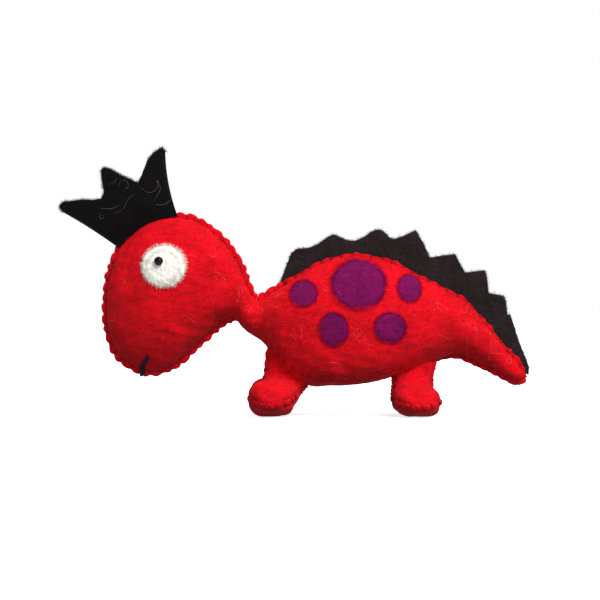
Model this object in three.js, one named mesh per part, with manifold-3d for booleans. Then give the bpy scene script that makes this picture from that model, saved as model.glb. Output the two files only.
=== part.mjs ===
// Felt dinosaur hand puppet, in millimetres, +Z up. It faces -X and stands on four stuffed feet at Z = 0.
// Two side panels and an underbody gusset of thick wool felt are whip-stitched together over wool stuffing.
// A slot in the gusset leads into a lined pocket for the wearer's fingers.
import * as THREE from "three";
import { LoftGeometry } from "three/addons/geometries/LoftGeometry.js";
import { mergeVertices } from "three/addons/utils/BufferGeometryUtils.js";
import Module from "manifold-3d";

const wasm = await Module();
wasm.setup();

// ---- Driving dimensions ----
const FELT = 3; // thickness of the side panels, the gusset and the crest
const GAP = 0.3; // air between neighbouring pieces
const LOOSE = 0.6; // air between the stuffing and the felt
const PLAY = 0.9; // air between two pieces that move past each other
const SEAM_ALLOWANCE = 2.3; // how far the whip stitches stand out from the felt edge
const THREAD_R = 0.9;
const SPOT_THICKNESS = 1.1;
const EYE_THICKNESS = 1.6;
const PUPIL_R = 2.5;
const FAR = 400; // larger than the whole puppet

// The side view is a row of ribs from the nose to the tip of the tail. Each rib runs from the lower edge
// to the upper edge of the animal, and has the half width of the body there.
const RIBS = [
  { low: [-104.6, 63], high: [-104.6, 63], half: 0 },
  { low: [-103.3, 46], high: [-103, 79], half: 6.5 },
  { low: [-98, 33], high: [-97.9, 94.5], half: 12.5 },
  { low: [-89, 25], high: [-88.5, 106], half: 17.5 },
  { low: [-78.8, 22], high: [-76.5, 112.3], half: 20.8 },
  { low: [-67.5, 25.6], high: [-63, 113.4], half: 22 },
  { low: [-57.5, 34], high: [-50.5, 109.3], half: 21 },
  { low: [-49, 42], high: [-39.3, 100.3], half: 18.2 },
  { low: [-41.5, 48.8], high: [-30.4, 88.5], half: 14.8 },
  { low: [-34.8, 52], high: [-24.6, 75], half: 11.6 },
  { low: [-28.5, 49.6], high: [-19.7, 67.3], half: 10 },
  { low: [-23, 46.2], high: [-12.5, 70.5], half: 11 },
  { low: [-18.2, 42.5], high: [-4.5, 75.5], half: 14.5 },
  { low: [-13.5, 36.5], high: [3.5, 80.5], half: 19.5 },
  { low: [-6, 26.5], high: [12.5, 85.5], half: 24 },
  { low: [5, 19], high: [23, 90], half: 27.5 },
  { low: [20, 17], high: [35, 91.8], half: 29 },
  { low: [36, 17.8], high: [47, 90.3], half: 28.5 },
  { low: [51, 21.5], high: [59.5, 86], half: 26.5 },
  { low: [66, 27], high: [72, 78.7], half: 23 },
  { low: [80, 31.5], high: [83.5, 73.3], half: 18.5 },
  { low: [92, 31.6], high: [95.5, 66.4], half: 14.5 },
  { low: [104, 26.5], high: [106.5, 54.8], half: 10.8 },
  { low: [115, 21.4], high: [117, 41.8], half: 7.8 },
  { low: [123.5, 17], high: [126, 31.5], half: 5 },
  { low: [130, 22.5], high: [130, 22.5], half: 0 },
];
const THROAT = 10; // rib where the gusset begins
const CHEST = 14; // the gusset has its full width from this rib
const LOIN = 18; // and up to this one
const RUMP = 20; // rib where it ends
const GUSSET_ANGLE = -50; // degrees below the widest line of the body at which its edges run

const SLOT = { x: 30, length: 40, width: 27 }; // hole for the fingers in the gusset
const LINING = 1; // thickness of the cotton
// The pocket above the slot: heights, and how wide it is there as a share of the slot.
const POCKET = [[-10, 1], [30, 1], [44, 1.04], [54, 0.98], [60, 0.84], [63, 0.6], [64, 0.3]];

const HOLLOW = [-100, 120]; // the stuffing reaches from here to here along X

// Where the neck turns on the body and where the head nods on the neck: the middle of each joint, how many
// degrees it leans back, and the radius of the ball that moves in it.
const TURN = { at: [-20, 0, 56], lean: 0, r: 12.3 };
const NOD = { at: [-31, 0, 62], lean: 28, r: 12.4 };
const WAG = { x: 92, r: 15.5 }; // upright roller where the tail wags
const LEG_SWING = 12; // degrees forwards and back

// The four legs: where the hip, ankle and toe are, with half widths along X and half thicknesses.
const LEG_PATH = {
  front: [
    { at: [-5, 13.5, 37.5], wide: 9.4, thick: 7 },
    { at: [-6.8, 16.5, 27], wide: 9.8, thick: 7.4 },
    { at: [-8.8, 19.8, 19.3], wide: 10.4, thick: 8 },
    { at: [-11.2, 24.6, 12.6], wide: 11.8, thick: 9.2 },
    { at: [-12.2, 30.5, 9.4], wide: 12.2, thick: 9 },
    { at: [-12.4, 36.8, 8], wide: 10.4, thick: 6.6 },
  ],
  rear: [
    { at: [66, 13.5, 39], wide: 10.4, thick: 7 },
    { at: [66, 16.5, 28], wide: 10.8, thick: 7.4 },
    { at: [66.2, 19.8, 19.8], wide: 11.2, thick: 8 },
    { at: [67, 24.6, 12.6], wide: 12, thick: 9.2 },
    { at: [67.6, 30.5, 9.4], wide: 12.2, thick: 9 },
    { at: [67.8, 36.8, 8], wide: 10.6, thick: 6.6 },
  ],
};
const HIP = { front: [-6.5, 16, 37], rear: [66, 16, 39], r: 11.5 };
const LEG_REACH = 30; // a cutter that reaches this far past the line it follows clears the whole leg

// Outline of the crest above the back: tips and notches from the shoulders to the tip of the tail.
const CREST = [
  [-5.2, 77], [-3.6, 84.5], [-1, 91.2], [8.6, 93.4], [22, 101.5], [33.5, 97.6], [46.5, 104.6], [55, 98.6],
  [67.8, 104], [75.4, 88], [89.8, 90.7], [94.2, 79.9], [106.4, 81.6], [108.8, 68.2], [116.9, 66.8],
  [118.6, 56.2], [120.8, 55.4], [126.5, 37], [130.6, 26],
];

// Crown outline on its own axes: u along its foot, v away from the head. Both side edges flare outwards.
const CROWN = {
  x: -82.2, z: 104.2, lean: 25.8, foot: -8, half_foot: 19, flare_front: 0.6, flare_back: 0.262, bulge: 8.5,
  points: [[-1, 32.1], [-0.3, 24.6], [0.02, 39.5], [0.67, 21.8], [1, 36.3]],
};

const EYE = { x: -71.6, z: 84, rx: 12.6, rz: 11.8 };
const PUPIL = { x: -74, z: 85.5 };
const SPOTS = [
  { x: 36, z: 73.6, rx: 15.2, rz: 14.2 },
  { x: 5.6, z: 68.1, rx: 7.6, rz: 7.5 },
  { x: 22, z: 48.5, rx: 8.1, rz: 9.2 },
  { x: 53.1, z: 49.3, rx: 8.8, rz: 8.4 },
  { x: 64.2, z: 71.1, rx: 6.8, rz: 7.7 },
];
const MOUTH = { from: [-80.3, 35.2], to: [-87, 18], width: 2.4 };

const RED = 0xc80d1e;
const BLACK = 0x120e10;
const BROWN = 0x2b2220;
const PURPLE = 0x6a1272;
const WHITE = 0xf1ece0;
const WOOL = 0xe9e2d2;
const COTTON = 0x8f1a22;

const deg = THREE.MathUtils.degToRad;

// ---- Solids ----

// A three.js geometry as a manifold-3d solid with its faces pointing out.
function solid(geometry) {
  const bare = new THREE.BufferGeometry().setAttribute("position", geometry.getAttribute("position").clone());
  if (geometry.index) bare.setIndex(geometry.index.clone());
  const merged = mergeVertices(bare, 1e-4);
  const kept = [];
  for (let i = 0; i < merged.index.count; i += 3) {
    const [a, b, c] = [merged.index.getX(i), merged.index.getX(i + 1), merged.index.getX(i + 2)];
    if (a !== b && b !== c && c !== a) kept.push([a, b, c]);
  }
  const build = (triangles) =>
    new wasm.Manifold(
      new wasm.Mesh({
        numProp: 3,
        vertProperties: new Float32Array(merged.attributes.position.array),
        triVerts: new Uint32Array(triangles.flat()),
      }),
    );
  const made = build(kept);
  return made.volume() < 0 ? build(kept.map(([a, b, c]) => [a, c, b])) : made;
}

// A capped loft through rings of points. Rings may run either way round: they are turned to face out.
function loftGeometry(rings) {
  const middle = (points) => points.reduce((sum, p) => sum.add(p), new THREE.Vector3()).divideScalar(points.length);
  const centre = middle(rings[0]);
  const normal = new THREE.Vector3();
  rings[0].forEach((p, i) => {
    const next = rings[0][(i + 1) % rings[0].length];
    normal.add(p.clone().sub(centre).cross(next.clone().sub(centre)));
  });
  const onward = middle(rings[1]).sub(centre);
  const turned = normal.dot(onward) < 0 ? rings.map((points) => [...points].reverse()) : rings;
  return new LoftGeometry(turned, { capStart: true, capEnd: true });
}
const loft = (rings) => solid(loftGeometry(rings));

const union = (...solids) => solids.reduce((all, next) => all.add(next));
const moved = (geometry, x, y, z) => geometry.clone().translate(x, y, z);
const box = (x0, x1, y0, y1, z0, z1) =>
  solid(moved(new THREE.BoxGeometry(x1 - x0, y1 - y0, z1 - z0), (x0 + x1) / 2, (y0 + y1) / 2, (z0 + z1) / 2));
const ball = ([x, y, z], r) => solid(moved(new THREE.SphereGeometry(r, 12, 8), x, y, z));

// A closed outline in the XZ plane, as a plate from y0 to y1.
function plate(points, y0, y1) {
  const shape = new THREE.Shape(points.map(([x, z]) => new THREE.Vector2(x, z)));
  const geometry = new THREE.ExtrudeGeometry(shape, { depth: y1 - y0, bevelEnabled: false });
  return solid(geometry.rotateX(Math.PI / 2).translate(0, y1, 0));
}

const ellipse = ({ x, z, rx, rz }, sides = 22) =>
  Array.from({ length: sides }, (_, i) => {
    const a = (i / sides) * 2 * Math.PI;
    return [x + rx * Math.cos(a), z + rz * Math.sin(a)];
  });

// ---- The animal's outer surface ----

// Rib shortened by the seam allowance at both ends, so that the stitches reach the outline.
function trimmed({ low, high }) {
  const [dx, dz] = [high[0] - low[0], high[1] - low[1]];
  const length = Math.hypot(dx, dz);
  if (length === 0) return { low, high };
  const [sx, sz] = [(dx / length) * SEAM_ALLOWANCE, (dz / length) * SEAM_ALLOWANCE];
  return { low: [low[0] + sx, low[1] + sz], high: [high[0] - sx, high[1] - sz] };
}

const rail = (points) => new THREE.CatmullRomCurve3(points, false, "catmullrom", 0.5);
const LOW = rail(RIBS.map((r) => new THREE.Vector3(trimmed(r).low[0], 0, trimmed(r).low[1])));
const HIGH = rail(RIBS.map((r) => new THREE.Vector3(trimmed(r).high[0], 0, trimmed(r).high[1])));
// How much the section sags into a broad belly: 0 in the head and the tail, 1 in the middle of the body.
const bellyAt = (rib) => THREE.MathUtils.smoothstep(rib, 11, 14.5) * (1 - THREE.MathUtils.smoothstep(rib, 18.5, 21.5));
const HALF = rail(RIBS.map((r) => new THREE.Vector3(r.half, 0, 0)));

// A point of the skin at a rib number, which need not be whole, and an angle in degrees: -90 is the lower
// edge, 0 the widest line and 90 the upper edge. side is -1 for the left half and 1 for the right.
function skin(rib, angle, side = 1) {
  const u = rib / (RIBS.length - 1);
  const belly = bellyAt(rib);
  const a = deg(angle);
  const power = angle < 0 ? THREE.MathUtils.lerp(1.1, 0.72, belly) : 1.1;
  const out = Math.pow(Math.max(0, Math.cos(a)), power);
  const lift = Math.sign(a) * Math.pow(Math.abs(Math.sin(a)), angle < 0 ? THREE.MathUtils.lerp(1, 0.85, belly) : 1);
  const share = 0.5 + 0.5 * lift - 0.1 * belly * (1 - lift * lift);
  const point = LOW.getPoint(u).lerp(HIGH.getPoint(u), share);
  point.y = side * HALF.getPoint(u).x * out;
  return point;
}

const RING = 16; // points round a section
const ring = (rib) =>
  Array.from({ length: RING }, (_, i) => {
    const turn = (i / RING) * 360;
    return turn <= 180 ? skin(rib, turn - 90, 1) : skin(rib, 270 - turn, -1);
  });
const STATIONS = [0.12, 0.45, 1, 1.6, 2.4];
for (let rib = 3.2; rib < 23.6; rib += 1.3) STATIONS.push(rib);
STATIONS.push(24, 24.5, 24.85);

// The whole animal without its legs, grown by a distance along its normals, which may be negative.
const BODY = mergeVertices(
  new THREE.BufferGeometry().copy(loftGeometry(STATIONS.map(ring))).deleteAttribute("normal").deleteAttribute("uv"),
  1e-4);
BODY.computeVertexNormals();

function grown(geometry, distance) {
  const copy = geometry.clone();
  const [at, normal] = [copy.attributes.position, copy.attributes.normal];
  for (let i = 0; i < at.count; i++)
    at.setXYZ(i, at.getX(i) + normal.getX(i) * distance, at.getY(i) + normal.getY(i) * distance,
      at.getZ(i) + normal.getZ(i) * distance);
  return solid(copy);
}
const body = (distance = 0) => grown(BODY, distance);

// ---- Legs ----

const LEG_RING = 8; // points round a leg

// The middle line of a left leg, and its half width (x) and half thickness (y) along that line.
const legLine = (pair) => rail(LEG_PATH[pair].map(({ at: [x, y, z] }) => new THREE.Vector3(x, -y, z)));
const legSize = (pair) => rail(LEG_PATH[pair].map(({ wide, thick }) => new THREE.Vector3(wide, thick, 0)));

// Rings of a left leg along its path. grow makes it fatter, or thinner where negative, and widen(centre) adds
// to its half width along X.
function legRings(pair, grow = 0, widen = () => 0) {
  const [line, size] = [legLine(pair), legSize(pair)];
  const steps = 6;
  return Array.from({ length: steps + 1 }, (_, i) => {
    const t = i / steps;
    const centre = line.getPoint(t);
    const across = new THREE.Vector3(1, 0, 0);
    const down = line.getTangent(t);
    const through = down.clone().cross(across).normalize();
    if (i === 0 && grow < 0) centre.addScaledVector(down, -2 * FELT - grow);
    const { x: wide, y: thick } = size.getPoint(t);
    return Array.from({ length: LEG_RING }, (_, k) => {
      const a = (k / LEG_RING) * 2 * Math.PI;
      return centre.clone()
        .addScaledVector(across, (wide + grow + widen(centre)) * Math.cos(a))
        .addScaledVector(through, (thick + grow) * Math.sin(a));
    });
  });
}
const leg = (pair, grow) => loft(legRings(pair, grow));

// The inside of a leg, which keeps clear of the outer surface by an inset all round and at the toe.
function legCore(pair, inset) {
  const toe = LEG_PATH[pair].at(-1).at[1] - inset;
  return leg(pair, -inset).intersect(box(-FAR, FAR, -toe, toe, -FAR, FAR));
}

// Everything on the outboard side of the seam that runs down the front and the back edge of a left leg.
function outboard(pair, shift) {
  const seam = legLine(pair).getPoints(8).map((p) => [shift - p.y, p.z]);
  const [first, last] = [seam[0], seam.at(-1)];
  const [far, top] = [last[0] + LEG_REACH, first[1] + LEG_REACH];
  const outline = [[first[0] - 6, top], ...seam, [far, last[1] - 7], [far, top]];
  const shape = new THREE.Shape(outline.map(([y, z]) => new THREE.Vector2(-y, z)));
  const geometry = new THREE.ExtrudeGeometry(shape, { depth: FAR, bevelEnabled: false });
  // The outline's plane becomes YZ, and the extrusion runs along X.
  const turn = new THREE.Matrix4().makeBasis(
    new THREE.Vector3(0, 1, 0), new THREE.Vector3(0, 0, 1), new THREE.Vector3(1, 0, 0));
  return solid(geometry.applyMatrix4(turn).translate(-FAR / 2, 0, 0));
}

const hip = (pair, side = -1) => [HIP[pair][0], side * HIP[pair][1], HIP[pair][2]];

// The room that a leg needs to swing about its hip: the leg, widened the more the farther from the hip.
function legRoom(pair, side) {
  const [x, , z] = hip(pair);
  const rings = legRings(pair, PLAY, (centre) =>
    1.5 + Math.hypot(centre.x - x, centre.z - z) * Math.sin(deg(LEG_SWING)));
  const room = loft(rings.map((points) => points.map((p) => new THREE.Vector3(p.x, -side * p.y, p.z))));
  return ball(hip(pair, side), HIP.r + PLAY).add(room);
}

// ---- Cutters at the joints ----

// Half of space in front of a leaning plane, with a ball round the joint's centre.
function neckCutter({ at, lean, r }, gap) {
  const half = new THREE.BoxGeometry(FAR, FAR, FAR).translate(-FAR / 2 + gap, 0, 0);
  return solid(half.rotateY(deg(lean)).translate(...at)).add(ball(at, r + gap));
}

function tailCutter(gap) {
  const roller = new THREE.CylinderGeometry(WAG.r + gap, WAG.r + gap, FAR, 36).rotateX(Math.PI / 2);
  return box(WAG.x - gap, FAR, -FAR, FAR, -FAR, FAR).add(solid(roller.translate(WAG.x, 0, 0)));
}

// The part of the skin below the gusset's two edges.
function gussetCutter(gap) {
  const stations = [THROAT - 0.2, THROAT + 1, 12, 13, CHEST, 15, 16, 17, LOIN, 19, RUMP - 0.35];
  const sections = stations.map((rib) => {
    const opened = Math.min(
      THREE.MathUtils.smoothstep(rib, THROAT - 1, CHEST), 1 - THREE.MathUtils.smoothstep(rib, LOIN, RUMP));
    const edge = skin(rib, THREE.MathUtils.lerp(-90, GUSSET_ANGLE, opened));
    const [y, top, bottom] = [edge.y + 0.4 + gap, edge.z + 7, edge.z - LEG_REACH];
    return [[-y, bottom], [y, bottom], [y, top], [-y, top]].map(([sy, z]) => new THREE.Vector3(edge.x, sy, z));
  });
  return loft(sections);
}

// ---- Crest and crown ----

// The crest as a plate. tuck is how deep it goes into the back seam, and grow widens it all round.
function crest(thickness, tuck) {
  const foot = [];
  for (let rib = 24.4; rib >= 12; rib -= 0.5) {
    const p = skin(rib, 90);
    foot.push([p.x, p.z - tuck]);
  }
  return plate([...CREST, ...foot], -thickness / 2, thickness / 2);
}

// The left crown panel: columns across the panel, each from its foot to the zigzag top edge.
function crownPanel() {
  const { points, half_foot, flare_front, flare_back, foot, bulge, lean } = CROWN;
  const topAt = (p) => {
    const k = Math.max(1, points.findIndex(([q]) => q >= p));
    const [a, b] = [points[k - 1], points[k]];
    return THREE.MathUtils.mapLinear(p, a[0], b[0], a[1], b[1]);
  };
  const columns = [];
  for (let k = 1; k < points.length; k++)
    for (let i = 0; i < 2; i++)
      columns.push(THREE.MathUtils.lerp(points[k - 1][0], points[k][0], i / 2));
  columns.push(1);
  const rows = 4;
  const at = (p, q, face) => {
    const v = THREE.MathUtils.lerp(foot, topAt(p), q);
    const [left, right] = [-half_foot - flare_front * v, half_foot + flare_back * v];
    const u = THREE.MathUtils.lerp(left, right, (p + 1) / 2);
    const swell = 0.15 * Math.sin(Math.PI * q);
    const y = 0.3 + bulge * (1 - p * p) + (face ? FELT - 0.4 + swell : -swell);
    return new THREE.Vector3(u, -y, v);
  };
  const sections = columns.map((p) => [
    ...Array.from({ length: rows + 1 }, (_, i) => at(p, i / rows, 0)),
    ...Array.from({ length: rows + 1 }, (_, i) => at(p, 1 - i / rows, 1)),
  ]);
  return solid(loftGeometry(sections).rotateY(-deg(lean)).translate(CROWN.x, 0, CROWN.z));
}

// ---- Wool and thread laid on the felt ----

const layer = (thickness) => body(GAP + thickness).subtract(body(GAP));
const SPOT_LAYER = layer(SPOT_THICKNESS);
const EYE_LAYER = layer(EYE_THICKNESS);
const pad = (from, outline) => from.intersect(plate(outline, -FAR, 0)); // on the left side

// A thread laid just outside the skin along points of it.
function thread(points, radius = THREAD_R) {
  const curve = new THREE.CatmullRomCurve3(points, false, "catmullrom", 0.5);
  const section = new THREE.Shape(
    Array.from({ length: 5 }, (_, i) => new THREE.Vector2(
      radius * Math.cos((i / 5) * 2 * Math.PI), radius * Math.sin((i / 5) * 2 * Math.PI))));
  const steps = Math.round(curve.getLength() / 6);
  return solid(new THREE.ExtrudeGeometry(section, { steps, extrudePath: curve }));
}

// Points along the skin between two ribs at one angle, just far enough out for a thread.
function seamLine(from, to, angle, aside = 0) {
  const count = Math.ceil(Math.abs(to - from) * 1.4);
  return Array.from({ length: count + 1 }, (_, i) => {
    const rib = THREE.MathUtils.lerp(from, to, i / count);
    const along = skin(rib + 0.05, angle, -1).sub(skin(rib - 0.05, angle, -1));
    const edge = Math.abs(angle) === 90;
    const round = edge
      ? new THREE.Vector3(0, Math.sign(angle), 0)
      : skin(rib, angle + 1, -1).sub(skin(rib, angle - 1, -1));
    const out = along.cross(round).normalize();
    return skin(rib, angle, -1).addScaledVector(out, THREAD_R + GAP + 0.35).add(new THREE.Vector3(0, aside, 0));
  });
}

// The line round the toe of a left leg, where its outer and inner halves meet.
function toeLine(pair) {
  const [line, size] = [legLine(pair), legSize(pair)];
  const away = THREAD_R + GAP + 0.9;
  const edge = (t, side) => line.getPoint(t).add(new THREE.Vector3(side * (size.getPoint(t).x + away), 0, 0));
  const tip = (share) => line.getPoint(1).addScaledVector(line.getTangent(1), away)
    .add(new THREE.Vector3(share * size.getPoint(1).x, 0, 0));
  return [edge(0.62, -1), edge(0.75, -1), edge(0.88, -1), edge(0.99, -1), tip(-0.92), tip(0), tip(0.92),
    edge(0.99, 1), edge(0.88, 1), edge(0.75, 1), edge(0.62, 1)];
}

// ---- Cutting the animal up into its pieces ----

const outer = body(0);
const hollow = ([from, to], inset) => box(from + inset, to - inset, -FAR, FAR, -FAR, FAR);
const inner = body(-FELT).intersect(hollow(HOLLOW, 0));
const filling = body(-FELT - LOOSE).intersect(hollow(HOLLOW, LOOSE));
const crestSlot = crest(FELT + 2 * GAP, FELT + GAP);

const left = box(-FAR, FAR, -FAR, -GAP / 2, -FAR, FAR);

const felt = outer.subtract(inner).subtract(crestSlot);
const headFelt = felt.intersect(neckCutter(NOD, 0));
const behindHead = felt.subtract(neckCutter(NOD, PLAY));
const neckFelt = behindHead.intersect(neckCutter(TURN, 0));
const behindNeck = behindHead.subtract(neckCutter(TURN, PLAY));
const tailFelt = behindNeck.intersect(tailCutter(0));
const legRooms = union(legRoom("front", -1), legRoom("front", 1), legRoom("rear", -1), legRoom("rear", 1));
const bodyFelt = behindNeck.subtract(tailCutter(PLAY)).subtract(legRooms);

const headFilling = filling.intersect(neckCutter(NOD, 0));
const neckFilling = filling.subtract(neckCutter(NOD, PLAY)).intersect(neckCutter(TURN, 0));
const restFilling = filling.subtract(neckCutter(NOD, PLAY)).subtract(neckCutter(TURN, PLAY));
const tailFilling = restFilling.intersect(tailCutter(0));

// The finger pocket: an upright oval tube with a domed top.
function pocket(grow, top) {
  const [rx, ry] = [SLOT.length / 2 + grow, SLOT.width / 2 + grow];
  const sides = 14;
  return loft(POCKET.map(([z, share]) => Array.from({ length: sides }, (_, k) => {
    const a = (k / sides) * 2 * Math.PI;
    return new THREE.Vector3(SLOT.x + rx * share * Math.cos(a), ry * share * Math.sin(a), z + top);
  })));
}
const bodyFilling = restFilling.subtract(tailCutter(PLAY)).subtract(legRooms)
  .subtract(pocket(LINING + GAP, LINING + GAP));
const lining = pocket(LINING, LINING).subtract(pocket(0, 0)).intersect(filling);

const gusset = bodyFelt.intersect(gussetCutter(0)).subtract(pocket(0, 0));
const sides = bodyFelt.subtract(gussetCutter(GAP));

// ---- The puppet ----

const puppet = new THREE.Group();
const headLine = [...seamLine(9.3, 0.3, 90), ...seamLine(0.3, 9.3, -90)];
const crownRest = body(GAP).add(thread(headLine, THREAD_R + GAP + 0.1));

// The three.js geometry of a solid. Only its largest body is kept, so slivers left by a cut go.
function geometryOf(shape) {
  const biggest = shape.decompose().sort((a, b) => b.volume() - a.volume())[0];
  const { vertProperties, triVerts, numProp } = biggest.getMesh();
  const count = vertProperties.length / numProp;
  const position = new Float32Array(count * 3);
  for (let i = 0; i < count; i++) position.set(vertProperties.subarray(i * numProp, i * numProp + 3), i * 3);
  const geometry = new THREE.BufferGeometry();
  geometry.setAttribute("position", new THREE.BufferAttribute(position, 3));
  geometry.setIndex(new THREE.BufferAttribute(triVerts, 1));
  geometry.computeVertexNormals();
  return geometry;
}

const looks = (color, roughness) => new THREE.MeshStandardMaterial({ color, roughness, metalness: 0 });

// Adds one piece to the puppet.
function add(name, shape, color, roughness = 0.95) {
  const mesh = new THREE.Mesh(geometryOf(shape), looks(color, roughness));
  mesh.name = name;
  puppet.add(mesh);
}

// Adds a piece of the left half and its mirror image. HAND in the name becomes left and right.
function addPair(name, shape, color, roughness = 0.95) {
  const geometry = geometryOf(shape);
  for (const [hand, flip] of [["left", 1], ["right", -1]]) {
    const mesh = new THREE.Mesh(geometry, looks(color, roughness));
    mesh.name = name.replace("HAND", hand);
    mesh.scale.y = flip;
    puppet.add(mesh);
  }
}

// The point of the skin straight out to the left of (x, z), moved further out by a distance.
function leftOf(x, z, distance) {
  const probe = box(x - 0.2, x + 0.2, -FAR, 0, z - 0.2, z + 0.2).intersect(outer);
  return [x, probe.boundingBox().min[1] - distance, z];
}

addPair("head_HAND_panel", headFelt.intersect(left), RED);
addPair("neck_HAND_panel", neckFelt.intersect(left), RED);
addPair("body_HAND_panel", sides.intersect(left), RED);
addPair("tail_HAND_panel", tailFelt.intersect(left), RED);
addPair("eye_patch_HAND", pad(EYE_LAYER, ellipse(EYE)), WHITE);
const pupilAt = leftOf(PUPIL.x, PUPIL.z, GAP * 2 + EYE_THICKNESS + PUPIL_R * 0.75);
addPair("pupil_bead_HAND", solid(new THREE.SphereGeometry(PUPIL_R, 12, 6).scale(1, 0.75, 1).translate(...pupilAt)),
  BLACK, 0.15);
SPOTS.forEach((spot, i) => addPair(`spot_${i + 1}_HAND`, pad(SPOT_LAYER, ellipse(spot, 12)), PURPLE));
addPair("crown_HAND_panel", crownPanel().subtract(crownRest), BLACK);

add("belly_gusset", gusset, RED);
add("head_stuffing", headFilling, WOOL);
add("neck_stuffing", neckFilling, WOOL);
add("body_stuffing", bodyFilling, WOOL);
add("tail_stuffing", tailFilling, WOOL);
add("pocket_lining", lining, COTTON);

for (const pair of ["front", "rear"]) {
  const socket = ball(hip(pair), HIP.r);
  const whole = outer.intersect(socket).add(leg(pair, 0));
  const felt = whole.subtract(inner).subtract(legCore(pair, FELT));
  addPair(`${pair}_HAND_leg_outer`, felt.intersect(outboard(pair, GAP / 2)), RED);
  addPair(`${pair}_HAND_leg_inner`, felt.subtract(outboard(pair, -GAP / 2)), RED);
  const core = filling.intersect(ball(hip(pair), HIP.r - GAP)).add(legCore(pair, FELT + LOOSE));
  addPair(`${pair}_HAND_leg_stuffing`, core, WOOL);
}

const wholeCrest = crest(FELT, FELT);
add("back_crest", wholeCrest.subtract(tailCutter(PLAY)), BROWN);
add("tail_crest", wholeCrest.intersect(tailCutter(0)), BROWN);

const mouthLine = plate([
  [MOUTH.from[0] - 0.5, MOUTH.from[1]], [MOUTH.to[0] - MOUTH.width / 2, MOUTH.to[1]],
  [MOUTH.to[0] + MOUTH.width / 2, MOUTH.to[1]], [MOUTH.from[0] + 0.5, MOUTH.from[1]]], -FAR, FAR);
add("mouth_stitch", layer(0.8).intersect(mouthLine), BLACK);

add("head_seam_thread", thread(headLine).subtract(mouthLine), RED);
add("tail_seam_thread", thread(seamLine(21.2, 24.6, -90)), RED);
const crestThread = thread(seamLine(12.6, 24.2, 90, -(FELT / 2 + GAP + THREAD_R)));
addPair("back_seam_thread_HAND", crestThread.subtract(tailCutter(PLAY)), RED);
addPair("tail_crest_thread_HAND", crestThread.intersect(tailCutter(0)), RED);
addPair("belly_seam_thread_HAND", thread(seamLine(15, 17.5, GUSSET_ANGLE)), RED);
for (const pair of ["front", "rear"]) addPair(`${pair}_HAND_leg_thread`, thread(toeLine(pair)), RED);

export default puppet;
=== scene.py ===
"""Felt dinosaur hand puppet, in metres, +Z up. It faces -X and stands on four stuffed feet.

Lengths in this file are millimetres until add_mesh() turns them into metres.
"""

import math

import bmesh
import bpy
import numpy as np
from bpy.props import FloatProperty, FloatVectorProperty, IntProperty, PointerProperty
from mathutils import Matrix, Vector


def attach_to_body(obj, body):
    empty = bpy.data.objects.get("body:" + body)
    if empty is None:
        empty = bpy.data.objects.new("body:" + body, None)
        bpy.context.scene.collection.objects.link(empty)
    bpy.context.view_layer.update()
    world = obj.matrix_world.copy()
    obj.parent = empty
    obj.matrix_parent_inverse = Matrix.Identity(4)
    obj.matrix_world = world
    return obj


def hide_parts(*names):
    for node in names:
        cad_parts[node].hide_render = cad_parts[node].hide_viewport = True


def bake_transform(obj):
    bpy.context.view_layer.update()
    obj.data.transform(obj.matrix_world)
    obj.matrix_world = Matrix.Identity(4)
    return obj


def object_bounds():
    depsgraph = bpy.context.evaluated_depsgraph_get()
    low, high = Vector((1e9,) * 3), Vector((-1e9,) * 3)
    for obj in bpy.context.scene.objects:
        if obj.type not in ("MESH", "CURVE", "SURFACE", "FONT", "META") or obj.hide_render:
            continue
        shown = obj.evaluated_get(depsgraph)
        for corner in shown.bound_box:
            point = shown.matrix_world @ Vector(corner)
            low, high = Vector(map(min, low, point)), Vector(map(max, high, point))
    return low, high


bl_info = {
    "name": "Felt Dinosaur Puppet",
    "version": (1, 0, 0),
    "blender": (4, 5, 0),
    "location": "3D View > Sidebar > Puppet",
    "description": "Dresses the dinosaur hand puppet in stitched wool felt, one piece at a time",
    "category": "Object",
}

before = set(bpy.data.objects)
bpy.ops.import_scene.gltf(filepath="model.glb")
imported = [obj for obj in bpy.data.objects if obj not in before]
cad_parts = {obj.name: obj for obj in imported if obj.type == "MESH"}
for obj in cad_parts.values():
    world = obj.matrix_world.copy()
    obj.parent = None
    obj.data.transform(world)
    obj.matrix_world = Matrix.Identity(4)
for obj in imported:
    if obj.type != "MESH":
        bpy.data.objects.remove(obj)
CAD_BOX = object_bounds()

MM = 0.001
HANDS = (("left", -1), ("right", 1))
PAIRS = ("front", "rear")
TAU = 2 * math.pi

# ---- The pattern of the animal ----

# Each rib runs from the lower edge to the upper edge of the side view: low x, low z, high x, high z, and its
# half width.
RIBS = np.array([
    [-104.8, 63, -104.8, 63, 0], [-103.9, 45.4, -103.2, 79, 6.5], [-98.8, 32.2, -98, 94.5, 12.5],
    [-89.4, 24.6, -88.5, 106, 17.5], [-78.8, 22, -76.5, 112.3, 20.8], [-67.5, 25.6, -63, 113.4, 22],
    [-57.5, 34, -50.5, 109.3, 21], [-49, 42, -39.3, 100.3, 18.2], [-41.5, 48.8, -30.4, 88.5, 14.8],
    [-34.8, 52, -24.6, 75, 11.6], [-28.5, 48.1, -19.7, 67.3, 10], [-23, 44.7, -12.5, 70.5, 11],
    [-18.2, 41.6, -4.5, 75.5, 14.5], [-13.5, 36.2, 3.5, 80.5, 19.5], [-6, 26.5, 12.5, 85.5, 24],
    [5, 18, 23, 90, 27.5], [20, 15.9, 35, 91.8, 29], [36, 16.7, 47, 90.3, 28.5], [51, 20.4, 59.5, 86, 26.5],
    [66, 27, 72, 78.7, 23], [80, 31.1, 83.5, 73.3, 18.5], [92, 31.2, 95.5, 66.4, 14.5],
    [104, 26.1, 106.5, 54.8, 10.8], [115, 21, 117, 41.8, 7.8], [124.2, 16.4, 127, 31.5, 5],
    [131, 21.5, 131, 21.5, 0],
])
LAST_RIB = len(RIBS) - 1
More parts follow.
